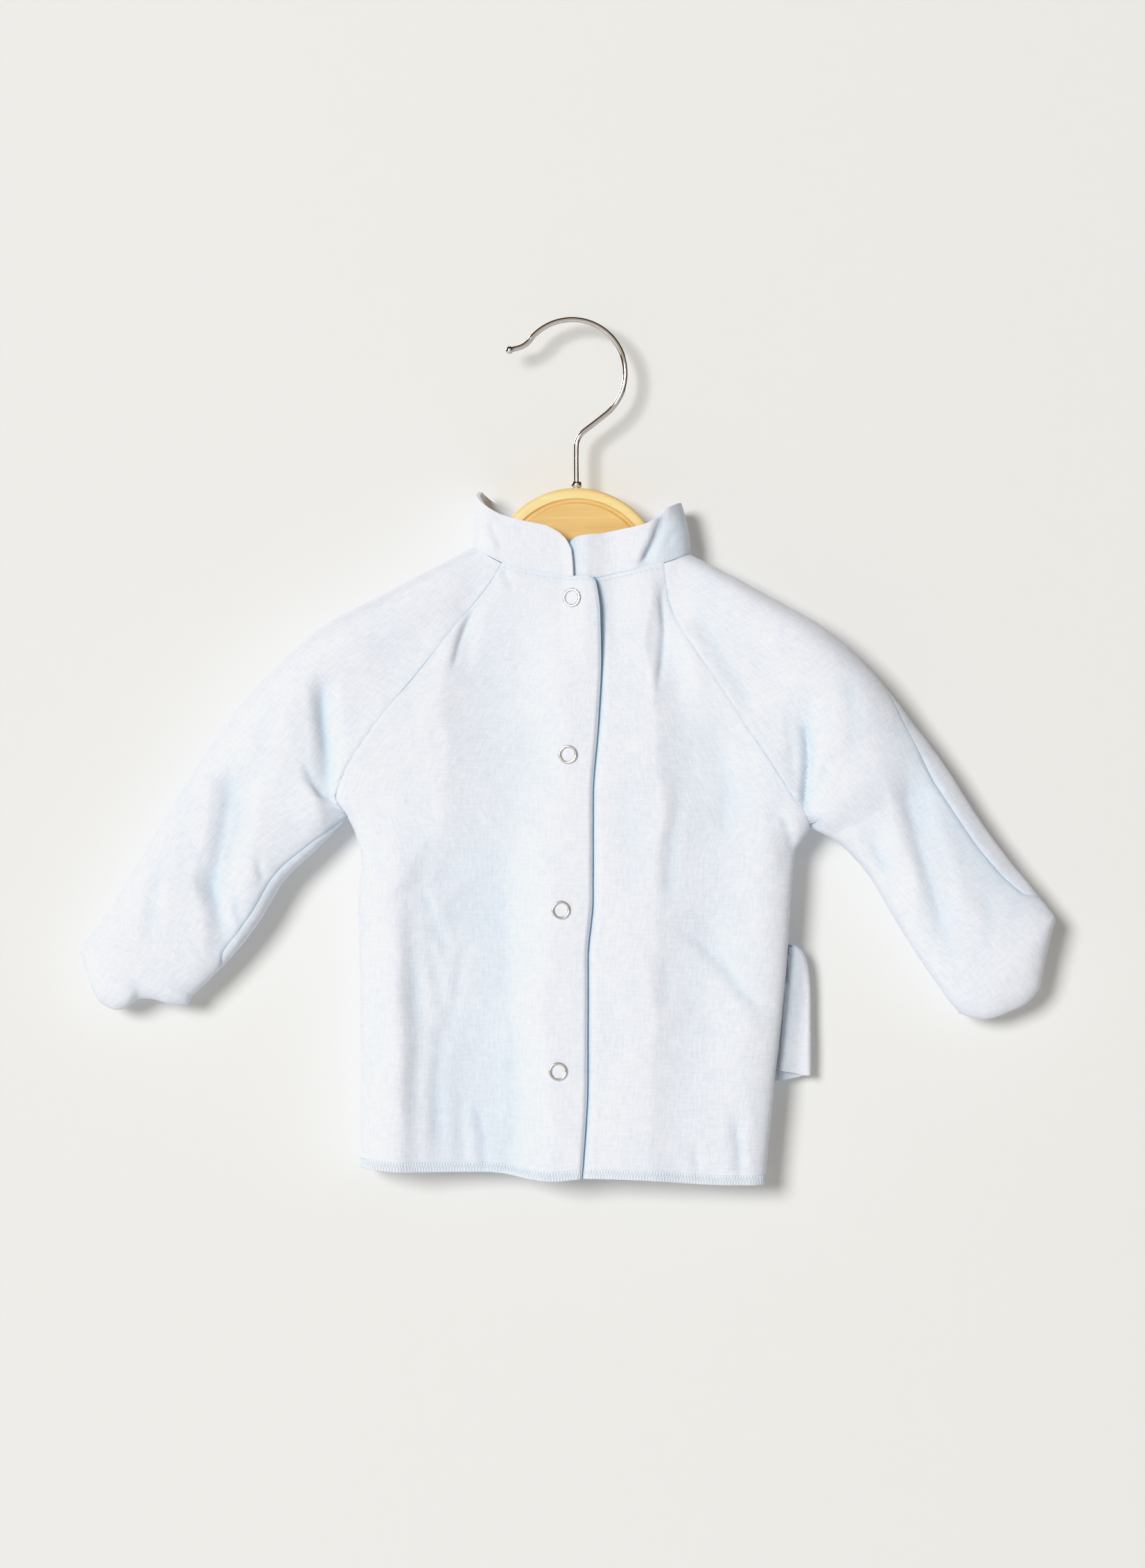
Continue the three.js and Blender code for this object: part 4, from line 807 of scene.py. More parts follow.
def column_steps(width, close_start, close_end):
    """Places of the columns, from 0 to 1: a cell apart, and closer by the steps given at an edge."""
    count = round((width - sum((s[-1] if s else 0) for s in (close_start, close_end))) / CELL)
    from_, to = (close_start[-1] if close_start else 0), width - (close_end[-1] if close_end else 0)
    middle = np.linspace(from_, to, max(count, 2) + 1)
    head = [0, *close_start[:-1]] if close_start else []
    tail = [width - s for s in close_end[:-1]][::-1] + [width] if close_end else []
    return np.concatenate([head, middle, tail]) / width


def panel(start, end, neck, surface, steps):
    """Grid of a panel, hem to neck and start to end."""
    share = shares_of_rows()[::-1][:, None]
    u = steps[None, :]
    a, b = start(share[:, 0])[:, None, :], end(share[:, 0])[:, None, :]
    top_a, top_b = start(np.array([0.0]))[0], end(np.array([0.0]))[0]
    hem_a, hem_b = start(np.array([2.0]))[0], end(np.array([2.0]))[0]
    x = a[..., 0] + (b[..., 0] - a[..., 0]) * u
    neck_sag = neck(top_a[0] + (top_b[0] - top_a[0]) * u) - (top_a[1] + (top_b[1] - top_a[1]) * u)
    hem_sag = hem_z(hem_a[0] + (hem_b[0] - hem_a[0]) * u) - (hem_a[1] + (hem_b[1] - hem_a[1]) * u)
    z = a[..., 1] + (b[..., 1] - a[..., 1]) * u
    z = z + (1 - smooth(share)) * neck_sag + smooth(share - 1) * hem_sag
    return np.stack([x, surface(x, z), z], -1)


def snap_room(x, z, radius=7.5):
    """0 at a snap and 1 away from it, so that the cloth stays where the ring holds it."""
    room = np.ones(x.shape)
    for snap_x, snap_z in SNAPS:
        room = room * smooth((np.hypot(x - snap_x, z - snap_z) - 5) / radius)
    return room


def side_distance(points, at_start, at_end):
    """Distance from the sewn edges, along the rows."""
    steps = np.linalg.norm(np.diff(points, axis=1), axis=-1)
    run = np.concatenate([np.zeros((len(points), 1)), np.cumsum(steps, axis=1)], axis=1)
    far = np.full(run.shape, 99.0)  # further than any seam reaches
    return np.minimum(run if at_start else far, run[:, -1:] - run if at_end else far)


def dress(points, outward, folds, creases, at_start, at_end, room=1.0):
    """A panel's points moved by creases, seams and waviness, and the painted shade at each."""
    x, z = points[..., 0], points[..., 2]
    distance = side_distance(points, at_start, at_end)
    depth = crease_depth(creases, x, z) * smooth(oval(x, z) * 2.2) + unevenness(x, z)
    depth = depth * room * smooth(distance / 3 + 0.25)
    raglan = z > -250  # the side seams below lie flatter
    sewn = seam_work(distance, z * np.where(z > ARMPIT_MEAN_Z, 1.25, 1)) * np.where(raglan, 1, 0.35)
    normal = grid_normals(points)
    flip = np.sign((normal[..., 1:2] * outward).mean())
    # Painted shade: deeper in broad folds and creases, along the raglan seams and along the row of stitches
    # below the collar.
    painted_shade = np.maximum(fold_depth(folds, x, z), 0) / FOLD_SHADE + np.maximum(depth, 0) / CREASE_SHADE
    painted_shade = painted_shade + 0.8 * np.exp(-((distance / 0.5) ** 2)) * raglan
    steps = np.linalg.norm(np.diff(points[::-1], axis=0, prepend=points[-1:]), axis=-1)
    fall = np.cumsum(steps, axis=0)[::-1]  # distance below the collar
    row = np.exp(-(((fall - NECK_ROW) / 0.7) ** 2))
    painted_shade, sewn = painted_shade + 0.8 * row, sewn + 0.25 * row
    return points - normal * flip * (depth + sewn)[..., None], painted_shade


PANEL_GRIDS = {
    "front_right": panel(right_edge, front_edge, neck_front_z, top_y,
                         column_steps(130, SIDE_STEPS, EDGE_STEPS)),
    "front_left": panel(under_edge, left_edge, neck_front_z, under_y,
                        column_steps(128, [], SIDE_STEPS)),
    "back": panel(left_edge, right_edge, neck_back_z, back_y,
                  column_steps(240, SIDE_STEPS, SIDE_STEPS))}
print("points:", {name: grid.shape[:2] for name, grid in PANEL_GRIDS.items()})


# %% Dress the panels
def own_side(outward):
    """Keeps a panel below the armpit on its own side of the side seam."""
    def clamp(co):
        low = co[:, 2] < SIDE_SEAM_TOP
        limit = outward * HALF_GAP
        past = low & (co[:, 1] * outward < limit * outward)
        co[past, 1] = limit
        return co
    return clamp


def edge_shade(name, x, z):
    """Painted shade of the fronts along the folded edge: on it, and in the gap beside it."""
    past = x - front_edge_x(z)
    if name == "front_right":
        return 0.9 * np.exp(-((past / 0.9) ** 2))
    return 2 * np.exp(-((past / 2.2) ** 2)) * (past < 6)


panels = {}  # name: its points, and which way it faces
for name, grid in PANEL_GRIDS.items():
    x, z = grid[..., 0], grid[..., 2]
    if name == "back":
        outward = 1
        points, painted_shade = dress(grid, outward, BACK_FOLDS, BACK_CREASES, True, True)
    else:
        outward, right = -1, name == "front_right"
        points, painted_shade = dress(grid, outward, FRONT_FOLDS, FRONT_CREASES, right, not right, snap_room(x, z))
        painted_shade = painted_shade + edge_shade(name, x, z)
    panels[name] = (points, outward)
    sheet = cloth_sheet(points, painted_shade, clamp=own_side(outward))
    finish_piece(sheet, "cloth_" + name, JERSEY, "jersey", name)

# %% [markdown]
# ## Sleeves
# A raglan sleeve is two parts, joined over the arm and under it. A tube cut in two would put both
# seams where its own edges run. Rings between the ridge and the underarm give the form instead, and
# each part takes its share of every ring, so a seam can wander to the front as a sewn one does. The
# last rings round over the closed end.

# %% Sleeve parts
RING_TURNS = np.linspace(-1.3, 1.3, 521)
SLEEVE_CAP, SLEEVE_ARM = 150, 120  # from neck to armpit, and on to the last ring
END_RING = 1.89  # from this place along the sleeve both parts end at the ridge and the underarm


def ring_place(side, along):
    """Distance round the ring at each of RING_TURNS."""
    ring = sleeve_point(side, along, RING_TURNS)
    steps = np.linalg.norm(np.diff(ring, axis=0), axis=1)
    return np.concatenate([[0], np.cumsum(steps)])


def sleeve_grid(side, face, columns=52):
    ways = SLEEVE[side]
    cap, arm = round(SLEEVE_CAP / CELL), round(SLEEVE_ARM / CELL)
    alongs = np.concatenate([
        [0.005], np.arange(1, cap + 1) / cap, 1 + np.arange(1, arm + 1) / arm,
        2 + np.sin(np.linspace(0, math.pi / 2, 17)[1:])])
    grid = []
    for along in alongs:
        own = along > END_RING
        place = min(along, 2)
        fade = 1 - smooth((along - 1.77) / 0.12)
        seam, under = ways["seam"](place) * fade, ways["under"](place) * fade
        raglan = max(float(raglan_gap(along)) * 1.3, HALF_GAP)
        run = ring_place(side, along)
        start, stop = np.interp(0, RING_TURNS, run), np.interp(face, RING_TURNS, run)
        if not own:
            start, stop = start + (seam + face * HALF_GAP), stop + (-face * raglan - under)
        turns = np.interp(np.linspace(start, stop, columns + 1), run, RING_TURNS)
        if own:
            turns = face * np.clip(face * turns, 0.0005, 0.9995)
        points = sleeve_point(side, along, turns)
        if own:
            points[:, 1] = -face * np.maximum(-face * points[:, 1], HALF_GAP)
        grid.append(points)
    return np.array(grid), alongs


def sleeve_clamp(side, face):
    """Keeps the closed end on its own side of the seam."""
    ridge, underarm = sleeve_point(side, END_RING, 0), sleeve_point(side, END_RING, 1)
    tip = sleeve_point(side, 3, 0.5)

    def beyond(x, z):
        return (underarm[0] - ridge[0]) * (z - ridge[2]) - (underarm[2] - ridge[2]) * (x - ridge[0])

    def clamp(co):
        far = beyond(co[:, 0], co[:, 2]) * beyond(tip[0], tip[2]) > 0
        co[far & (co[:, 1] * -face < HALF_GAP), 1] = -face * HALF_GAP
        return co
    return clamp


SLEEVE_RUN = 140  # millimetres of cloth to each 1 of along, for the puckers
SLEEVE_FOLD_SHADE, SLEEVE_CREASE_SHADE = 7, 2  # sleeves are narrower, so the painted shade in their folds is full sooner
for side in ("right", "left"):
    for face in (1, -1):
        grid, alongs = sleeve_grid(side, face)
        x, z = grid[..., 0], grid[..., 2]
        distance = side_distance(grid, True, True)
        closing = np.where(alongs > 2, np.sqrt(np.maximum(0, 1 - (alongs - 2) ** 2)), 1)[:, None]
        depth = (crease_depth(SLEEVE_CREASES[side, face], x, z) + unevenness(x, z)) * closing
        depth = depth * smooth(distance / 3 + 0.25)
        run = np.broadcast_to((alongs * SLEEVE_RUN)[:, None], x.shape)
        on_arm = smooth((alongs - 0.96) * 12)[:, None]  # over-arm and underarm seams lie deeper
        sewn = seam_work(distance, run, 0.24 + 0.5 * on_arm) * closing
        normal = grid_normals(grid)
        flip = np.sign((normal[20:-20, 20:-20, 1] * -face).mean())
        points = grid - normal * flip * (depth + sewn)[..., None]
        # Painted shade: in the sleeve's broad folds and creases and along its seams, more on the over-arm and
        # underarm ones.
        broad = np.maximum(fold_depth(SLEEVE_FOLDS[side, face], x, z), 0) / SLEEVE_FOLD_SHADE
        fine = np.maximum(depth, 0) / SLEEVE_CREASE_SHADE
        painted_shade = broad + fine + 0.5 * on_arm * np.exp(-distance / 3)
        painted_shade = np.minimum(painted_shade + 0.8 * np.exp(-((distance / 0.5) ** 2)), 1.0)
        order = slice(None, None, 1 if flip < 0 else -1)
        name = f"sleeve_{side}_{'front' if face > 0 else 'back'}"
        sheet = cloth_sheet(points[:, order], painted_shade[:, order], clamp=sleeve_clamp(side, face))
        finish_piece(sheet, "cloth_" + name, JERSEY, "jersey", name)

# %% [markdown]
# ## Collar
# The collar is one doubled band that stands on the neck seam, from one rounded front end round the
# back to the other. A ring scaled up from the neck would stand evenly, and a worn-in collar doesn't.
# So it is a grid on the neck seam's own line, whose height and lean follow the table, and it is
# almost twice as thick as one layer.

# %% Neck seam and collar
SLEEVE_TOP = np.linspace(-0.98, 0.98, 40)  # turns over a sleeve's neck edge, from back to front


def neck_seam():
    """Points of the neck seam from the wearer's right front end round the back to the left one."""
    def along_front(x, surface, table):
        z = table(x)
        return np.stack([x, surface(x, z), z], -1)
    return np.concatenate([
        along_front(np.linspace(-1.3, -37, 60), top_y, neck_front_z),
        sleeve_point("right", 0, -SLEEVE_TOP),
        along_front(np.linspace(-37, 44, 120), back_y, neck_back_z),
        sleeve_point("left", 0, SLEEVE_TOP),
        along_front(np.linspace(44, -3.8, 80), under_y, neck_front_z)])


def along_line(line, share):
    run = np.concatenate([[0], np.cumsum(np.linalg.norm(np.diff(line, axis=0), axis=1))])
    return np.stack([np.interp(share * run[-1], run, line[:, k]) for k in range(3)], -1)


seam_line = neck_seam()
even = np.linspace(0, 1, 221)
collar_share = even - 0.75 * np.sin(2 * math.pi * even) / (2 * math.pi)
low = along_line(seam_line, collar_share)
NECK_BAND = {"thickness": 2.0, "edge": 0.7}
for _ in range(3):  # takes the corners out of the line where it passes a seam
    low[1:-1] = (low[:-2] + 2 * low[1:-1] + low[2:]) / 4
up = np.linspace(0, 1, 17)[:, None]
height, lean_x, lean_y = (curve(COLLAR, k)(collar_share)[None, :] for k in (1, 2, 3))
collar_x = low[None, :, 0] + lean_x * up * up
collar_z = low[None, :, 2] - 0.5 + (height + 0.5) * up
left_front = (collar_share[None, :] > 0.5) * smooth(-low[None, :, 1] / 9)
collar_y = low[None, :, 1] + lean_y * up + fold_depth(COLLAR_FOLD, collar_x, collar_z) * left_front
collar_grid = np.stack([collar_x, collar_y, collar_z], -1)
normal = grid_normals(collar_grid)
collar_depth = crease_depth(COLLAR_CREASES, collar_x, collar_z) * (low[None, :, 1] < 0)
collar_depth = collar_depth + 0.6 * unevenness(collar_x * 1.6, collar_z * 1.6) * (up - 0.1)
flip = np.sign((normal[:, :30, 1] * -1).mean())
collar_points = collar_grid - normal * flip * collar_depth[..., None]
# Painted shade on the collar: in its folds and creases, along its foot at the neck seam, and under the top
# end.
collar_painted_shade = fold_depth(COLLAR_FOLD, collar_x, collar_z) * left_front / 6
collar_painted_shade = collar_painted_shade + np.maximum(collar_depth, 0) / 2 + 0.7 * (up < 0.04)
collar_painted_shade = collar_painted_shade + 1.8 * np.exp(-(((collar_share - 1) / 0.02) ** 2))  # painted shade under the top end
order = slice(None, None, 1 if flip > 0 else -1)
collar = cloth_sheet(collar_points[:, order], collar_painted_shade[:, order], **NECK_BAND)
finish_piece(collar, "cloth_collar", JERSEY, "jersey", "collar")

# %% [markdown]
# ## Side tab
# A doubled strip is sewn to the back by the wearer's left side seam, and its folded edge shows past
# it. A flat box would show the fold as two hard corners. The strip's grid runs out, turns in a half
# circle and comes back, so the fold is round and Solidify gives both layers their thickness.

# %% Side tab
TAB_EDGE = np.array([  # z, x of the folded edge
    (-314.5, 109), (-316, 112.5), (-320, 115.8), (-328, 118), (-342, 119), (-385, 119.2)], float)
TAB = {"top": -314.5, "foot": -381, "bend": 1.8, "flat": 8, "turn": 16, "rows": 44}


def side_tab():
    """Columns run out along the outer layer, round the fold and back along the inner one."""
    flat, turn, bend, top = TAB["flat"], TAB["turn"], TAB["bend"], TAB["top"]
    down = np.linspace(0, 1, TAB["rows"])[::-1][:, None] ** 1.3
    c = np.arange(2 * flat + turn + 1)[None, :].astype(float)
    turned = np.clip((c - flat) / turn, 0, 1)
    straight = np.maximum(np.maximum(flat - c, c - flat - turn), 0) / flat
    z = top + (TAB["foot"] + np.where(c < flat, 4.5, -4) * straight - top) * down
    root = edge_x["left"](z) - 5
    outer = curve(TAB_EDGE, 1)(z) - CLOTH / 2
    y = back_y(root, z) + CLOTH + 0.39
    angle = (turned - 0.5) * math.pi
    x = outer - bend + np.cos(angle) * bend
    x = x + (root - x) * straight
    wave = 0.35 * np.sin(z / 6.3) * (1 - straight)
    forward = (back_y(root, z) - back_y(np.clip(x - 1.2, root, root + 5), z)) * 0.9  # round the side
    forward = forward - 4 * smooth((x - root - 8) / 10)  # and back again to its outer edge
    return np.stack([x, y + bend + np.sin(angle) * bend + wave - forward, z], -1)


tab_grid = side_tab()
# Painted shade on the tab where it lies behind the body's side edge, fading over 14 mm.
tab_painted_shade = 0.8 * (1 - smooth((tab_grid[..., 0] - edge_x["left"](tab_grid[..., 2])) / 14))
tab = cloth_sheet(tab_grid, tab_painted_shade)
finish_piece(tab, "cloth_side_tab", JERSEY, "jersey", "side_tab")

# %% [markdown]
# ## Rods and threads
# Wire and thread are the same form at two sizes: a round section carried along a path. A curve
# with a bevel would do it too, but its radius is harder to change along the way. A grid is rolled
# round the path, one row of points for each step, and the long edges are merged. Where the radius
# falls to nothing at an end, the ring of points merges too and closes it.

# %% A round section along a path
def carried_frames(path):
    """Two directions square to the path at every point, turning as little as they can."""
    tangent = np.gradient(path, axis=0)
    tangent /= np.linalg.norm(tangent, axis=1, keepdims=True)
    start = np.array([0.0, 1.0, 0.0])
    if abs(tangent[0] @ start) > 0.9:
        start = np.array([1.0, 0.0, 0.0])
    first = np.zeros(path.shape)
    for i, way in enumerate(tangent):
        start = start - way * (start @ way)
        start = start / np.linalg.norm(start)
        first[i] = start
    return first, np.cross(tangent, first)


def rolled(path, radius, sides):
    path = np.asarray(path, float)
    first, second = carried_frames(path)
    angle = np.linspace(0, 2 * math.pi, sides + 1)[None, :, None]
    radius = np.broadcast_to(np.asarray(radius, float), (len(path),))[:, None, None]
    return path[:, None, :] + radius * (np.cos(angle) * first[:, None] + np.sin(angle) * second[:, None])


def rod(points):
    """A grid of rings closed to a rod."""
    obj = new_grid(points)
    edit_all(merge_points, face_outwards)
    only(obj)
    bpy.ops.object.shade_smooth()
    return obj


# %% [markdown]
# ## Sewing
# The hem isn't turned up: its raw edge is overlocked. One looper thread runs in a zigzag between the
# needle line and the edge and laps over the edge, and the needle thread holds it in short stitches.
# Below the collar a row of stitches holds the seam allowance down. Each thread is one rod that
# follows the panel's own surface.

# %% Places on a panel, measured from one of its edges
class EdgeOfPanel:
    ROWS = 8  # as many as any thread reaches over

    def __init__(self, points, outward):
        """points starts with the row at the edge."""
        near = points[:self.ROWS]
        normal = grid_normals(near)
        self.points, self.normal = near, normal * np.sign((normal[..., 1] * outward).mean())
        steps = np.linalg.norm(np.diff(near[0], axis=0), axis=1)
        self.run = np.concatenate([[0], np.cumsum(steps)])
        self.row = np.linalg.norm(np.diff(near, axis=0), axis=-1).mean()

    def at(self, run, height, lift):
        """Points at a distance along the edge, a height off it and lifted off the cloth's middle."""
        run, height, lift = np.broadcast_arrays(*(np.asarray(v, float) for v in (run, height, lift)))
        column = np.interp(run, self.run, np.arange(len(self.run)))
        i = np.clip(column.astype(int), 0, len(self.run) - 2)
        j = np.clip((height / self.row).astype(int), 0, self.ROWS - 2)
        u, v = (column - i)[:, None], (height / self.row - j)[:, None]

        def between(grid):
            low = grid[j, i] * (1 - u) + grid[j, i + 1] * u
            high = grid[j + 1, i] * (1 - u) + grid[j + 1, i + 1] * u
            return low * (1 - v) + high * v
        return between(self.points) + between(self.normal) * lift[:, None]


# %% Overlocked hem
STITCH = 1.45  # length of one loop along the hem
BAND = 4.7  # width of the overlock
THREAD = 0.2  # radius
LOOP = np.array([  # share of a stitch, height off the edge, lift off the cloth's middle, drop past the edge
    (0, BAND, 0.62, 0), (0.12, BAND - 0.8, 0.72, 0), (0.3, 2.2, 0.74, 0), (0.46, 0.05, 0.5, 0.34),
    (0.54, 0.05, 0.3, 0.34), (0.7, 2.2, 0.72, 0), (0.88, BAND - 0.8, 0.72, 0)])
SEWING_THREAD = jersey("baby_blue_thread", rgb(0.87, 0.91, 0.95), rgb(0.80, 0.86, 0.91))


def sew(name, path, radius=THREAD):
    return finish_piece(rod(rolled(path, radius, 5)), name, SEWING_THREAD, "jersey")


def overlock(name, edge):
    count = int(edge.run[-1] / STITCH)
    start = (edge.run[-1] - count * STITCH) / 2
    share, height, lift, drop = LOOP.T
    order = np.arange(count)[:, None]
    uneven = 0.12 * np.sin(order * 2.4) + 0.1 * np.sin(order * 0.9 + 1)
    run = (start + (order + share) * STITCH).ravel()
    heights = (height + uneven * (height > 3)).ravel()
    path = edge.at(run, heights, np.tile(lift, count))
    path[:, 2] -= np.tile(drop, count)
    sew(f"overlock_{name}", path)
    half = np.arange(2 * count)  # the needle thread goes down every half stitch
    row = edge.at(start + half * STITCH / 2, BAND + 0.1, 0.5 + 0.28 * (half % 2))
    sew(f"needle_{name}", row, THREAD * 0.8)


for name, (points, outward) in panels.items():
    overlock(name, EdgeOfPanel(points, outward))

# %% Row of stitches below the collar
NECK_STITCH = 2.7
DIP = np.array([(0, 0.35), (0.16, 0.7), (0.5, 0.76), (0.74, 0.7), (0.88, 0.35)])  # share of a stitch, lift


def neck_row(name, points, outward):
    edge = EdgeOfPanel(points[::-1], outward)
    count = int((edge.run[-1] - 1.5) / NECK_STITCH)
    run = 0.8 + (np.arange(count)[:, None] + DIP[:, 0]).ravel() * NECK_STITCH
    sew(f"neck_row_{name}", edge.at(run, NECK_ROW, np.tile(DIP[:, 1], count)))


for name, (points, outward) in panels.items():
    neck_row(name, points, outward)

# %% [markdown]
# ## Metal
# A prong ring is pressed through the cloth, which shows in its middle. A torus primitive would make
# it as thick as it is wide, and the real one is a flat band with rounded shoulders. So a circle is
# flattened to that section, spun round the snap's own axis and turned square to the cloth. Both
# metals get a fine unevenness of polish, as a perfect mirror looks drawn.

# %% Polished metals
def bright_metal(name, colour, roughness):
    s = Shader(name)
    place = s.add("TexCoord").outputs["Object"]
    wear = s.add("TexNoise", Vector=place, Scale=900.0, Detail=4.0)
    rough = s.add("MapRange", Value=wear.outputs[0], To_Min=roughness * 0.6, To_Max=roughness * 1.5)
    bump = s.add("Bump", Strength=0.06, Distance=0.0001, Height=wear.outputs[0])
    s.set(Base_Color=colour, Metallic=1.0, Roughness=rough.outputs[0], Normal=bump.outputs[0])
    return s.material


SNAP_METAL = bright_metal("bright_snap_metal", rgb(0.91, 0.905, 0.9), 0.17)
CHROME = bright_metal("polished_chrome", rgb(0.93, 0.93, 0.94), 0.07)
print("metals:", SNAP_METAL.name, CHROME.name)

# %% Snap rings
RING = {"radius": 4.75, "band": 1.4, "height": 0.9}


def outwards_at(surface, x, z):
    slope_x, slope_z = surface(x + 2, z) - surface(x - 2, z), surface(x, z + 2) - surface(x, z - 2)
    return Vector((float(slope_x) / 4, -1, float(slope_z) / 4)).normalized()


def snap_ring(name, node, surface, place, out):
    """A band of rounded section, spun round the snap's axis and moved out from the cloth."""
    x, z = place
    sides = 16
    deselect()
    bpy.ops.mesh.primitive_circle_add(vertices=sides, radius=1)
    ring = bpy.context.object
    angle = np.arange(sides) * 2 * math.pi / sides
    around = np.cos(angle) * RING["band"] / 2
    above = np.sin(angle) * RING["height"] / 2
    section = np.stack([RING["radius"] - RING["band"] / 2 + around, above, 0 * angle], -1)
    set_points(ring.data, section)

    def spin_round():
        bpy.ops.mesh.spin(steps=56, angle=2 * math.pi, center=(0, 0, 0), axis=(0, 1, 0))
    edit_all(spin_round, merge_points, face_outwards)
    outwards = outwards_at(surface, x, z)
    middle = (Vector((x, float(surface(x, z)), z)) + outwards * out) * MM
    turn = Vector((0, 1, 0)).rotation_difference(outwards).to_matrix().to_4x4()
    ring.data.transform(Matrix.Translation(middle) @ turn)
    only(ring)
    bpy.ops.object.shade_smooth()
    finish_piece(ring, name, SNAP_METAL, "snap_metal", node)


ring_out = CLOTH / 2 + 0.15 + RING["height"] / 2  # from the middle of the cloth to the ring's own
for i, place in enumerate(SNAPS, 1):
    snap_ring(f"snap_{i}_ring", f"snap_{i}_cap", top_y, place, ring_out)
    snap_ring(f"snap_{i}_inner_ring", f"snap_{i}_back", under_y, place, -ring_out)

# %% [markdown]
# ## Hook
# The hook is one polished wire: straight through its collar, round two bends and a bow, with a ball
# rolled at its tip. Bending a straight cylinder would squeeze it in the bends. The wire's round
# section is carried along a curve through its corners instead, as the threads are.

# %% Hook and its collar
WIRE = 1.3  # radius
BOW = {"radius": 27, "x": -2, "z": WIRE - 27, "start": 144.8, "end": -49.8}
WOOD_TOP = -84
BALL = 1.9
INSIDE_BALL = 6  # steps of the wire's path that the ball takes the place of


def smooth_path(corners, steps):
    """A curve through all the corners, with no kink."""
    corners = np.array(corners, float)
    ends = np.vstack([2 * corners[0] - corners[1], corners, 2 * corners[-1] - corners[-2]])
    t = np.linspace(0, 1, steps, endpoint=False)[:, None]
    runs = []
    for a, b, c, d in zip(ends, ends[1:], ends[2:], ends[3:]):
        runs.append(0.5 * (2 * b + (c - a) * t + (2 * a - 5 * b + 4 * c - d) * t**2
                           + (3 * b - a - 3 * c + d) * t**3))
    return np.vstack([*runs, corners[-1:]])


def hook_path():
    turn = np.radians(np.linspace(BOW["start"], BOW["end"], 25))
    bow = np.stack([BOW["x"] + BOW["radius"] * np.cos(turn), BOW["z"] + BOW["radius"] * np.sin(turn)], -1)
    tip = [(-33.5, -14.1), (-29.5, -13.2), (-26.5, -12)]
    shank = [(8.2, -52), (3.2, -56), (0.7, -60), (0.3, -66), (0.3, -74), (0.4, WOOD_TOP), (0.4, WOOD_TOP - 6)]
    flat = smooth_path([*tip, *bow, *shank], 5)
    return np.stack([flat[:, 0], 0 * flat[:, 0], flat[:, 1]], -1)


def hook():
    path = hook_path()
    way = (path[0] - path[1]) / np.linalg.norm(path[0] - path[1])
    turn = np.linspace(0, math.pi - math.asin(WIRE / BALL), 14)
    ball = path[0] + way * (np.cos(turn) * BALL)[:, None]
    steps = np.concatenate([np.sin(turn) * BALL, np.full(len(path) - INSIDE_BALL, WIRE)])
    wire = rod(rolled(np.vstack([ball, path[INSIDE_BALL:]]), steps, 20))
    edit_all(close_holes)
    finish_piece(wire, "hook_wire", CHROME, "hook_chrome", "hook")


def hook_collar():
    """The rounded bush that the wire goes through, as rings round its axis."""
    turn = np.linspace(-62, 62, 15)
    radius = WIRE + 0.15 + 1.25 * np.cos(np.radians(turn))
    height = WOOD_TOP + 1.8 + 1.7 * np.sin(np.radians(turn))
    radius, height = np.r_[WIRE, radius, WIRE], np.r_[height[0], height, height[-1]]
    angle = np.linspace(0, 2 * math.pi, 33)[None, :]
    radius, height = radius[:, None], height[:, None]
    rings = np.stack([0.4 + radius * np.cos(angle), radius * np.sin(angle), height + 0 * angle], -1)
    finish_piece(rod(rings), "hook_collar", CHROME, "hook_chrome", "ferrule")


hook()
hook_collar()

# %% [markdown]
# ## Wooden plate
# The hanger is cut from a 10 mm board with its rims rounded over, and a shallow groove follows the
# arch 5 mm inside the rim. A curve with a bevel could give the board, but its rounding would swell
# the outline. A circle of points is laid on the outline, filled, extruded to the board's thickness
# and bevelled inwards. A rounded rod bent along the arch then cuts the groove with a Boolean.

# %% Plate
PLATE = {"thick": 10, "head": 44, "edge": 2.6, "x": 0.5, "tilt": 0.6}  # head is the arch's radius
ARM = [(50, -33.6), (75, -46.4), (100, -59.6), (118, -68.6), (125.5, -73.2), (127.5, -78),
       (124.5, -83.5), (117, -86), (90, -76), (60, -63), (30, -56)]
ARCH_MEETS_ARM = 0.42
GROOVE = {"outer": 5.3, "inner": 7.9, "deep": 0.9}


def plate_outline():
    turn = np.linspace(math.pi - ARCH_MEETS_ARM, ARCH_MEETS_ARM, 72)
    arch = np.stack([PLATE["head"] * np.cos(turn), PLATE["head"] * (np.sin(turn) - 1)], -1)
    right = np.array([*ARM, (0, -53.7)], float)
    left = np.array(ARM[::-1], float) * (-1, 1)
    return np.vstack([arch, right, left])


def groove_cutter(face):
    """A rounded rod bent along the arch, half sunk in one face of the board."""
    middle = PLATE["head"] - (GROOVE["outer"] + GROOVE["inner"]) / 2
    half = (GROOVE["inner"] - GROOVE["outer"]) / 2
    turn = np.linspace(math.pi - ARCH_MEETS_ARM, ARCH_MEETS_ARM, 64)
    angle = np.linspace(0, 2 * math.pi, 17)
    out, deep = half * np.cos(angle), GROOVE["deep"] * np.sin(angle)
    radius = np.stack([middle + out] * len(turn))
    x, z = radius * np.cos(turn)[:, None], radius * np.sin(turn)[:, None] - PLATE["head"]
    y = face * PLATE["thick"] / 2 + np.broadcast_to(deep, x.shape)
    cutter = rod(np.stack([x, y, z], -1))
    edit_all(close_holes, face_outwards)
    return cutter


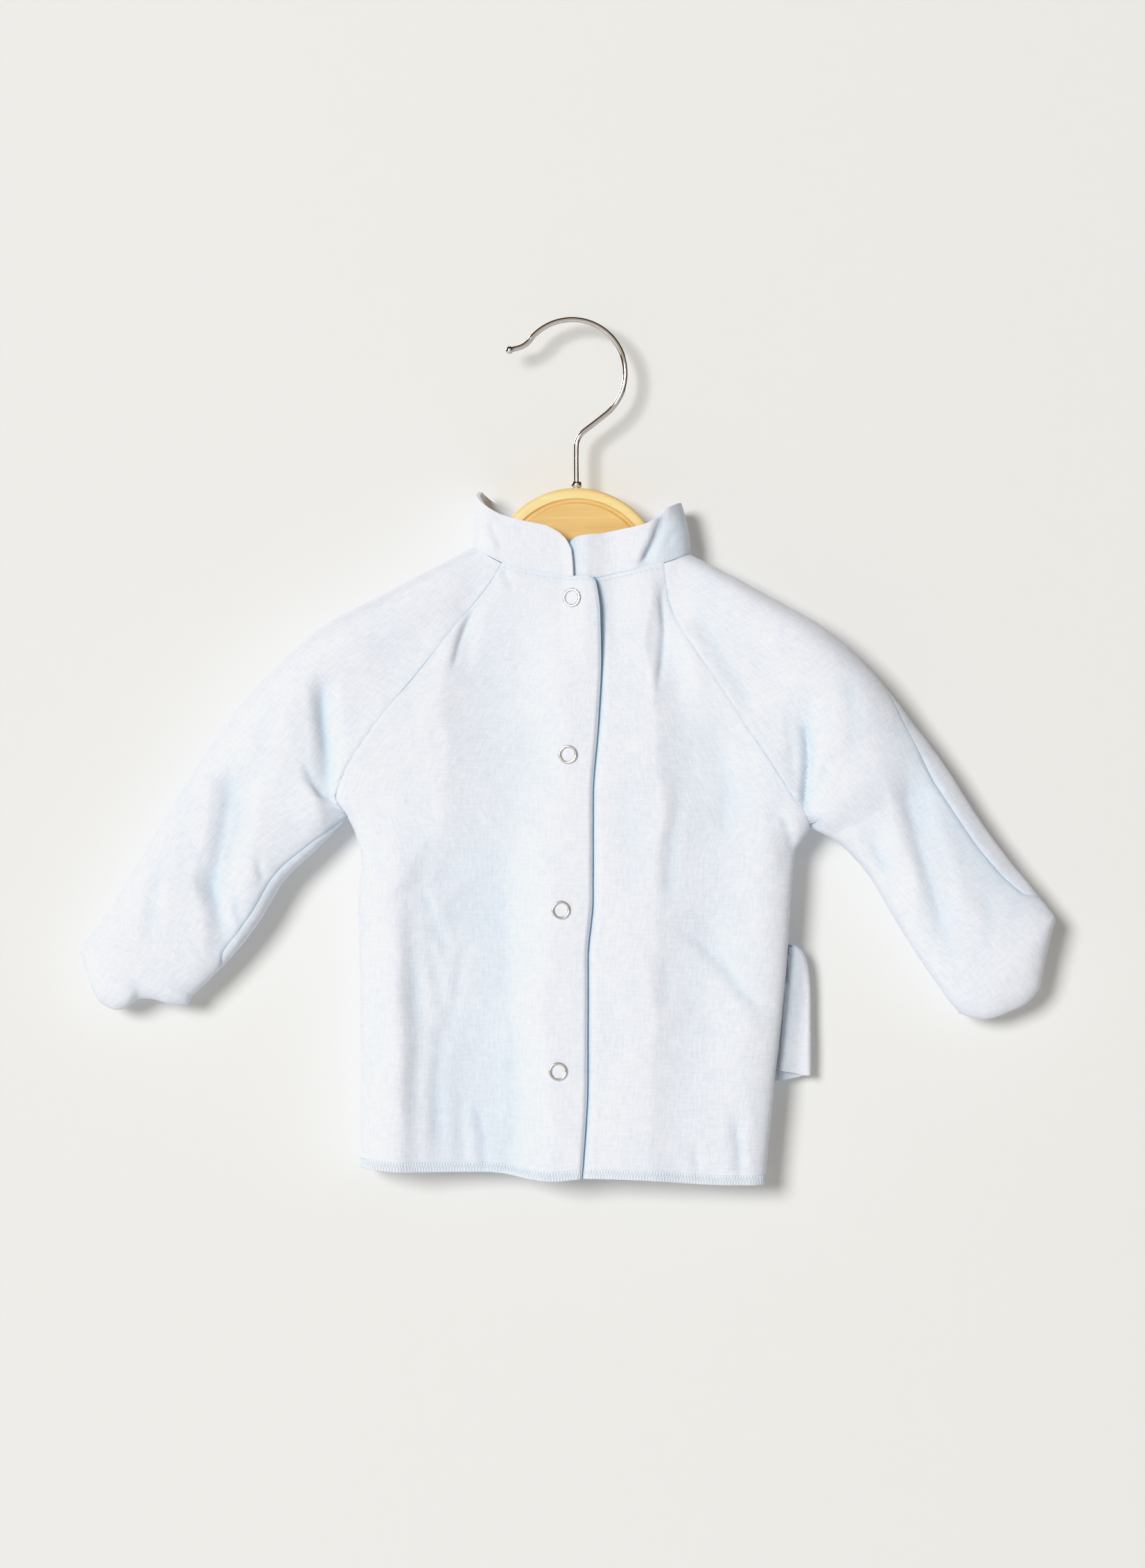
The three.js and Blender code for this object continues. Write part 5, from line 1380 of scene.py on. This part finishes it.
def wooden_plate():
    outline = plate_outline()
    deselect()
    bpy.ops.mesh.primitive_circle_add(vertices=len(outline), radius=1, fill_type="NGON")
    board = bpy.context.object
    flat = np.stack([outline[:, 0], 0 * outline[:, 0] - PLATE["thick"] / 2, outline[:, 1]], -1)
    set_points(board.data, flat)

    def thicken():
        bpy.ops.mesh.extrude_region_move(TRANSFORM_OT_translate={"value": (0, PLATE["thick"] * MM, 0)})
    edit_all(thicken, face_outwards)
    apply_modifier(board, "BEVEL", width=PLATE["edge"] * MM, segments=6, limit_method="ANGLE",
                   angle_limit=math.radians(50), use_clamp_overlap=True)
    for face in (-1, 1):
        cutter = groove_cutter(face)
        apply_modifier(board, "BOOLEAN", operation="DIFFERENCE", object=cutter, solver="EXACT")
        bpy.data.objects.remove(cutter)
    place = Matrix.Translation(Vector((PLATE["x"], 0, WOOD_TOP)) * MM)
    board.data.transform(place @ Matrix.Rotation(math.radians(PLATE["tilt"]), 4, "Y"))
    only(board)
    bpy.ops.object.shade_smooth_by_angle(angle=math.radians(35))
    return board


# %% [markdown]
# ## Wood
# The plate is varnished pale wood, with its grain along the arms. One noise would look like clouds.
# Two are stretched along the arms, one broad for the growth rings and one thin for the pores. The
# rim outside the groove is paler, so the distance from the arch's centre mixes two pairs of browns.

# %% Honey wood
def honey_wood():
    """Varnished pale wood with its grain along the arms; the rim outside the groove is paler."""
    s = Shader("honey_wood")
    place = s.add("TexCoord").outputs["Object"]
    along = s.add("Mapping", Vector=place, Scale=(9.0, 60.0, 150.0)).outputs[0]
    rings = s.add("TexNoise", Vector=along, Scale=1.4, Detail=6.0, Roughness=0.6, Distortion=0.5).outputs[0]
    thin = s.add("Mapping", Vector=place, Scale=(45.0, 500.0, 1000.0)).outputs[0]
    pores = s.add("TexNoise", Vector=thin, Scale=1.0, Detail=4.0).outputs[0]
    grain = s.maths("ADD", s.maths("MULTIPLY", rings, 0.7), s.maths("MULTIPLY", pores, 0.3))
    factor = s.add("MapRange", Value=grain, From_Min=0.36, From_Max=0.64).outputs[0]
    field = s.mix(factor, rgb(0.90, 0.735, 0.45), rgb(0.82, 0.64, 0.355))
    rim = s.mix(factor, rgb(0.965, 0.84, 0.58), rgb(0.93, 0.785, 0.50))
    part = s.add("SeparateXYZ", Vector=place)
    below = s.maths("ADD", part.outputs["Z"], (PLATE["head"] - WOOD_TOP) * MM)
    aside = s.maths("SUBTRACT", part.outputs["X"], PLATE["x"] * MM)
    squares = s.maths("ADD", s.maths("MULTIPLY", below, below), s.maths("MULTIPLY", aside, aside))
    radius = s.maths("SQRT", squares)
    groove, blur = (PLATE["head"] - GROOVE["outer"]) * MM, 0.4 * MM
    outside = s.add("MapRange", Value=radius, From_Min=groove - blur, From_Max=groove + blur).outputs[0]
    bump = s.add("Bump", Strength=0.12, Distance=0.0003, Height=grain)
    s.set(Base_Color=s.mix(outside, field, rim), Roughness=0.42, Normal=bump.outputs[0], Coat_Weight=0.25,
          Coat_Roughness=0.25)
    return s.material


finish_piece(wooden_plate(), "wooden_plate", honey_wood(), "wood", "hanger_wood")

# %% Metal for the solids that still show, which are the snaps' insides
for name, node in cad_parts.items():
    if not node.hide_render:
        node.data.materials.clear()
        node.data.materials.append(SNAP_METAL)
        print("finish on", name)
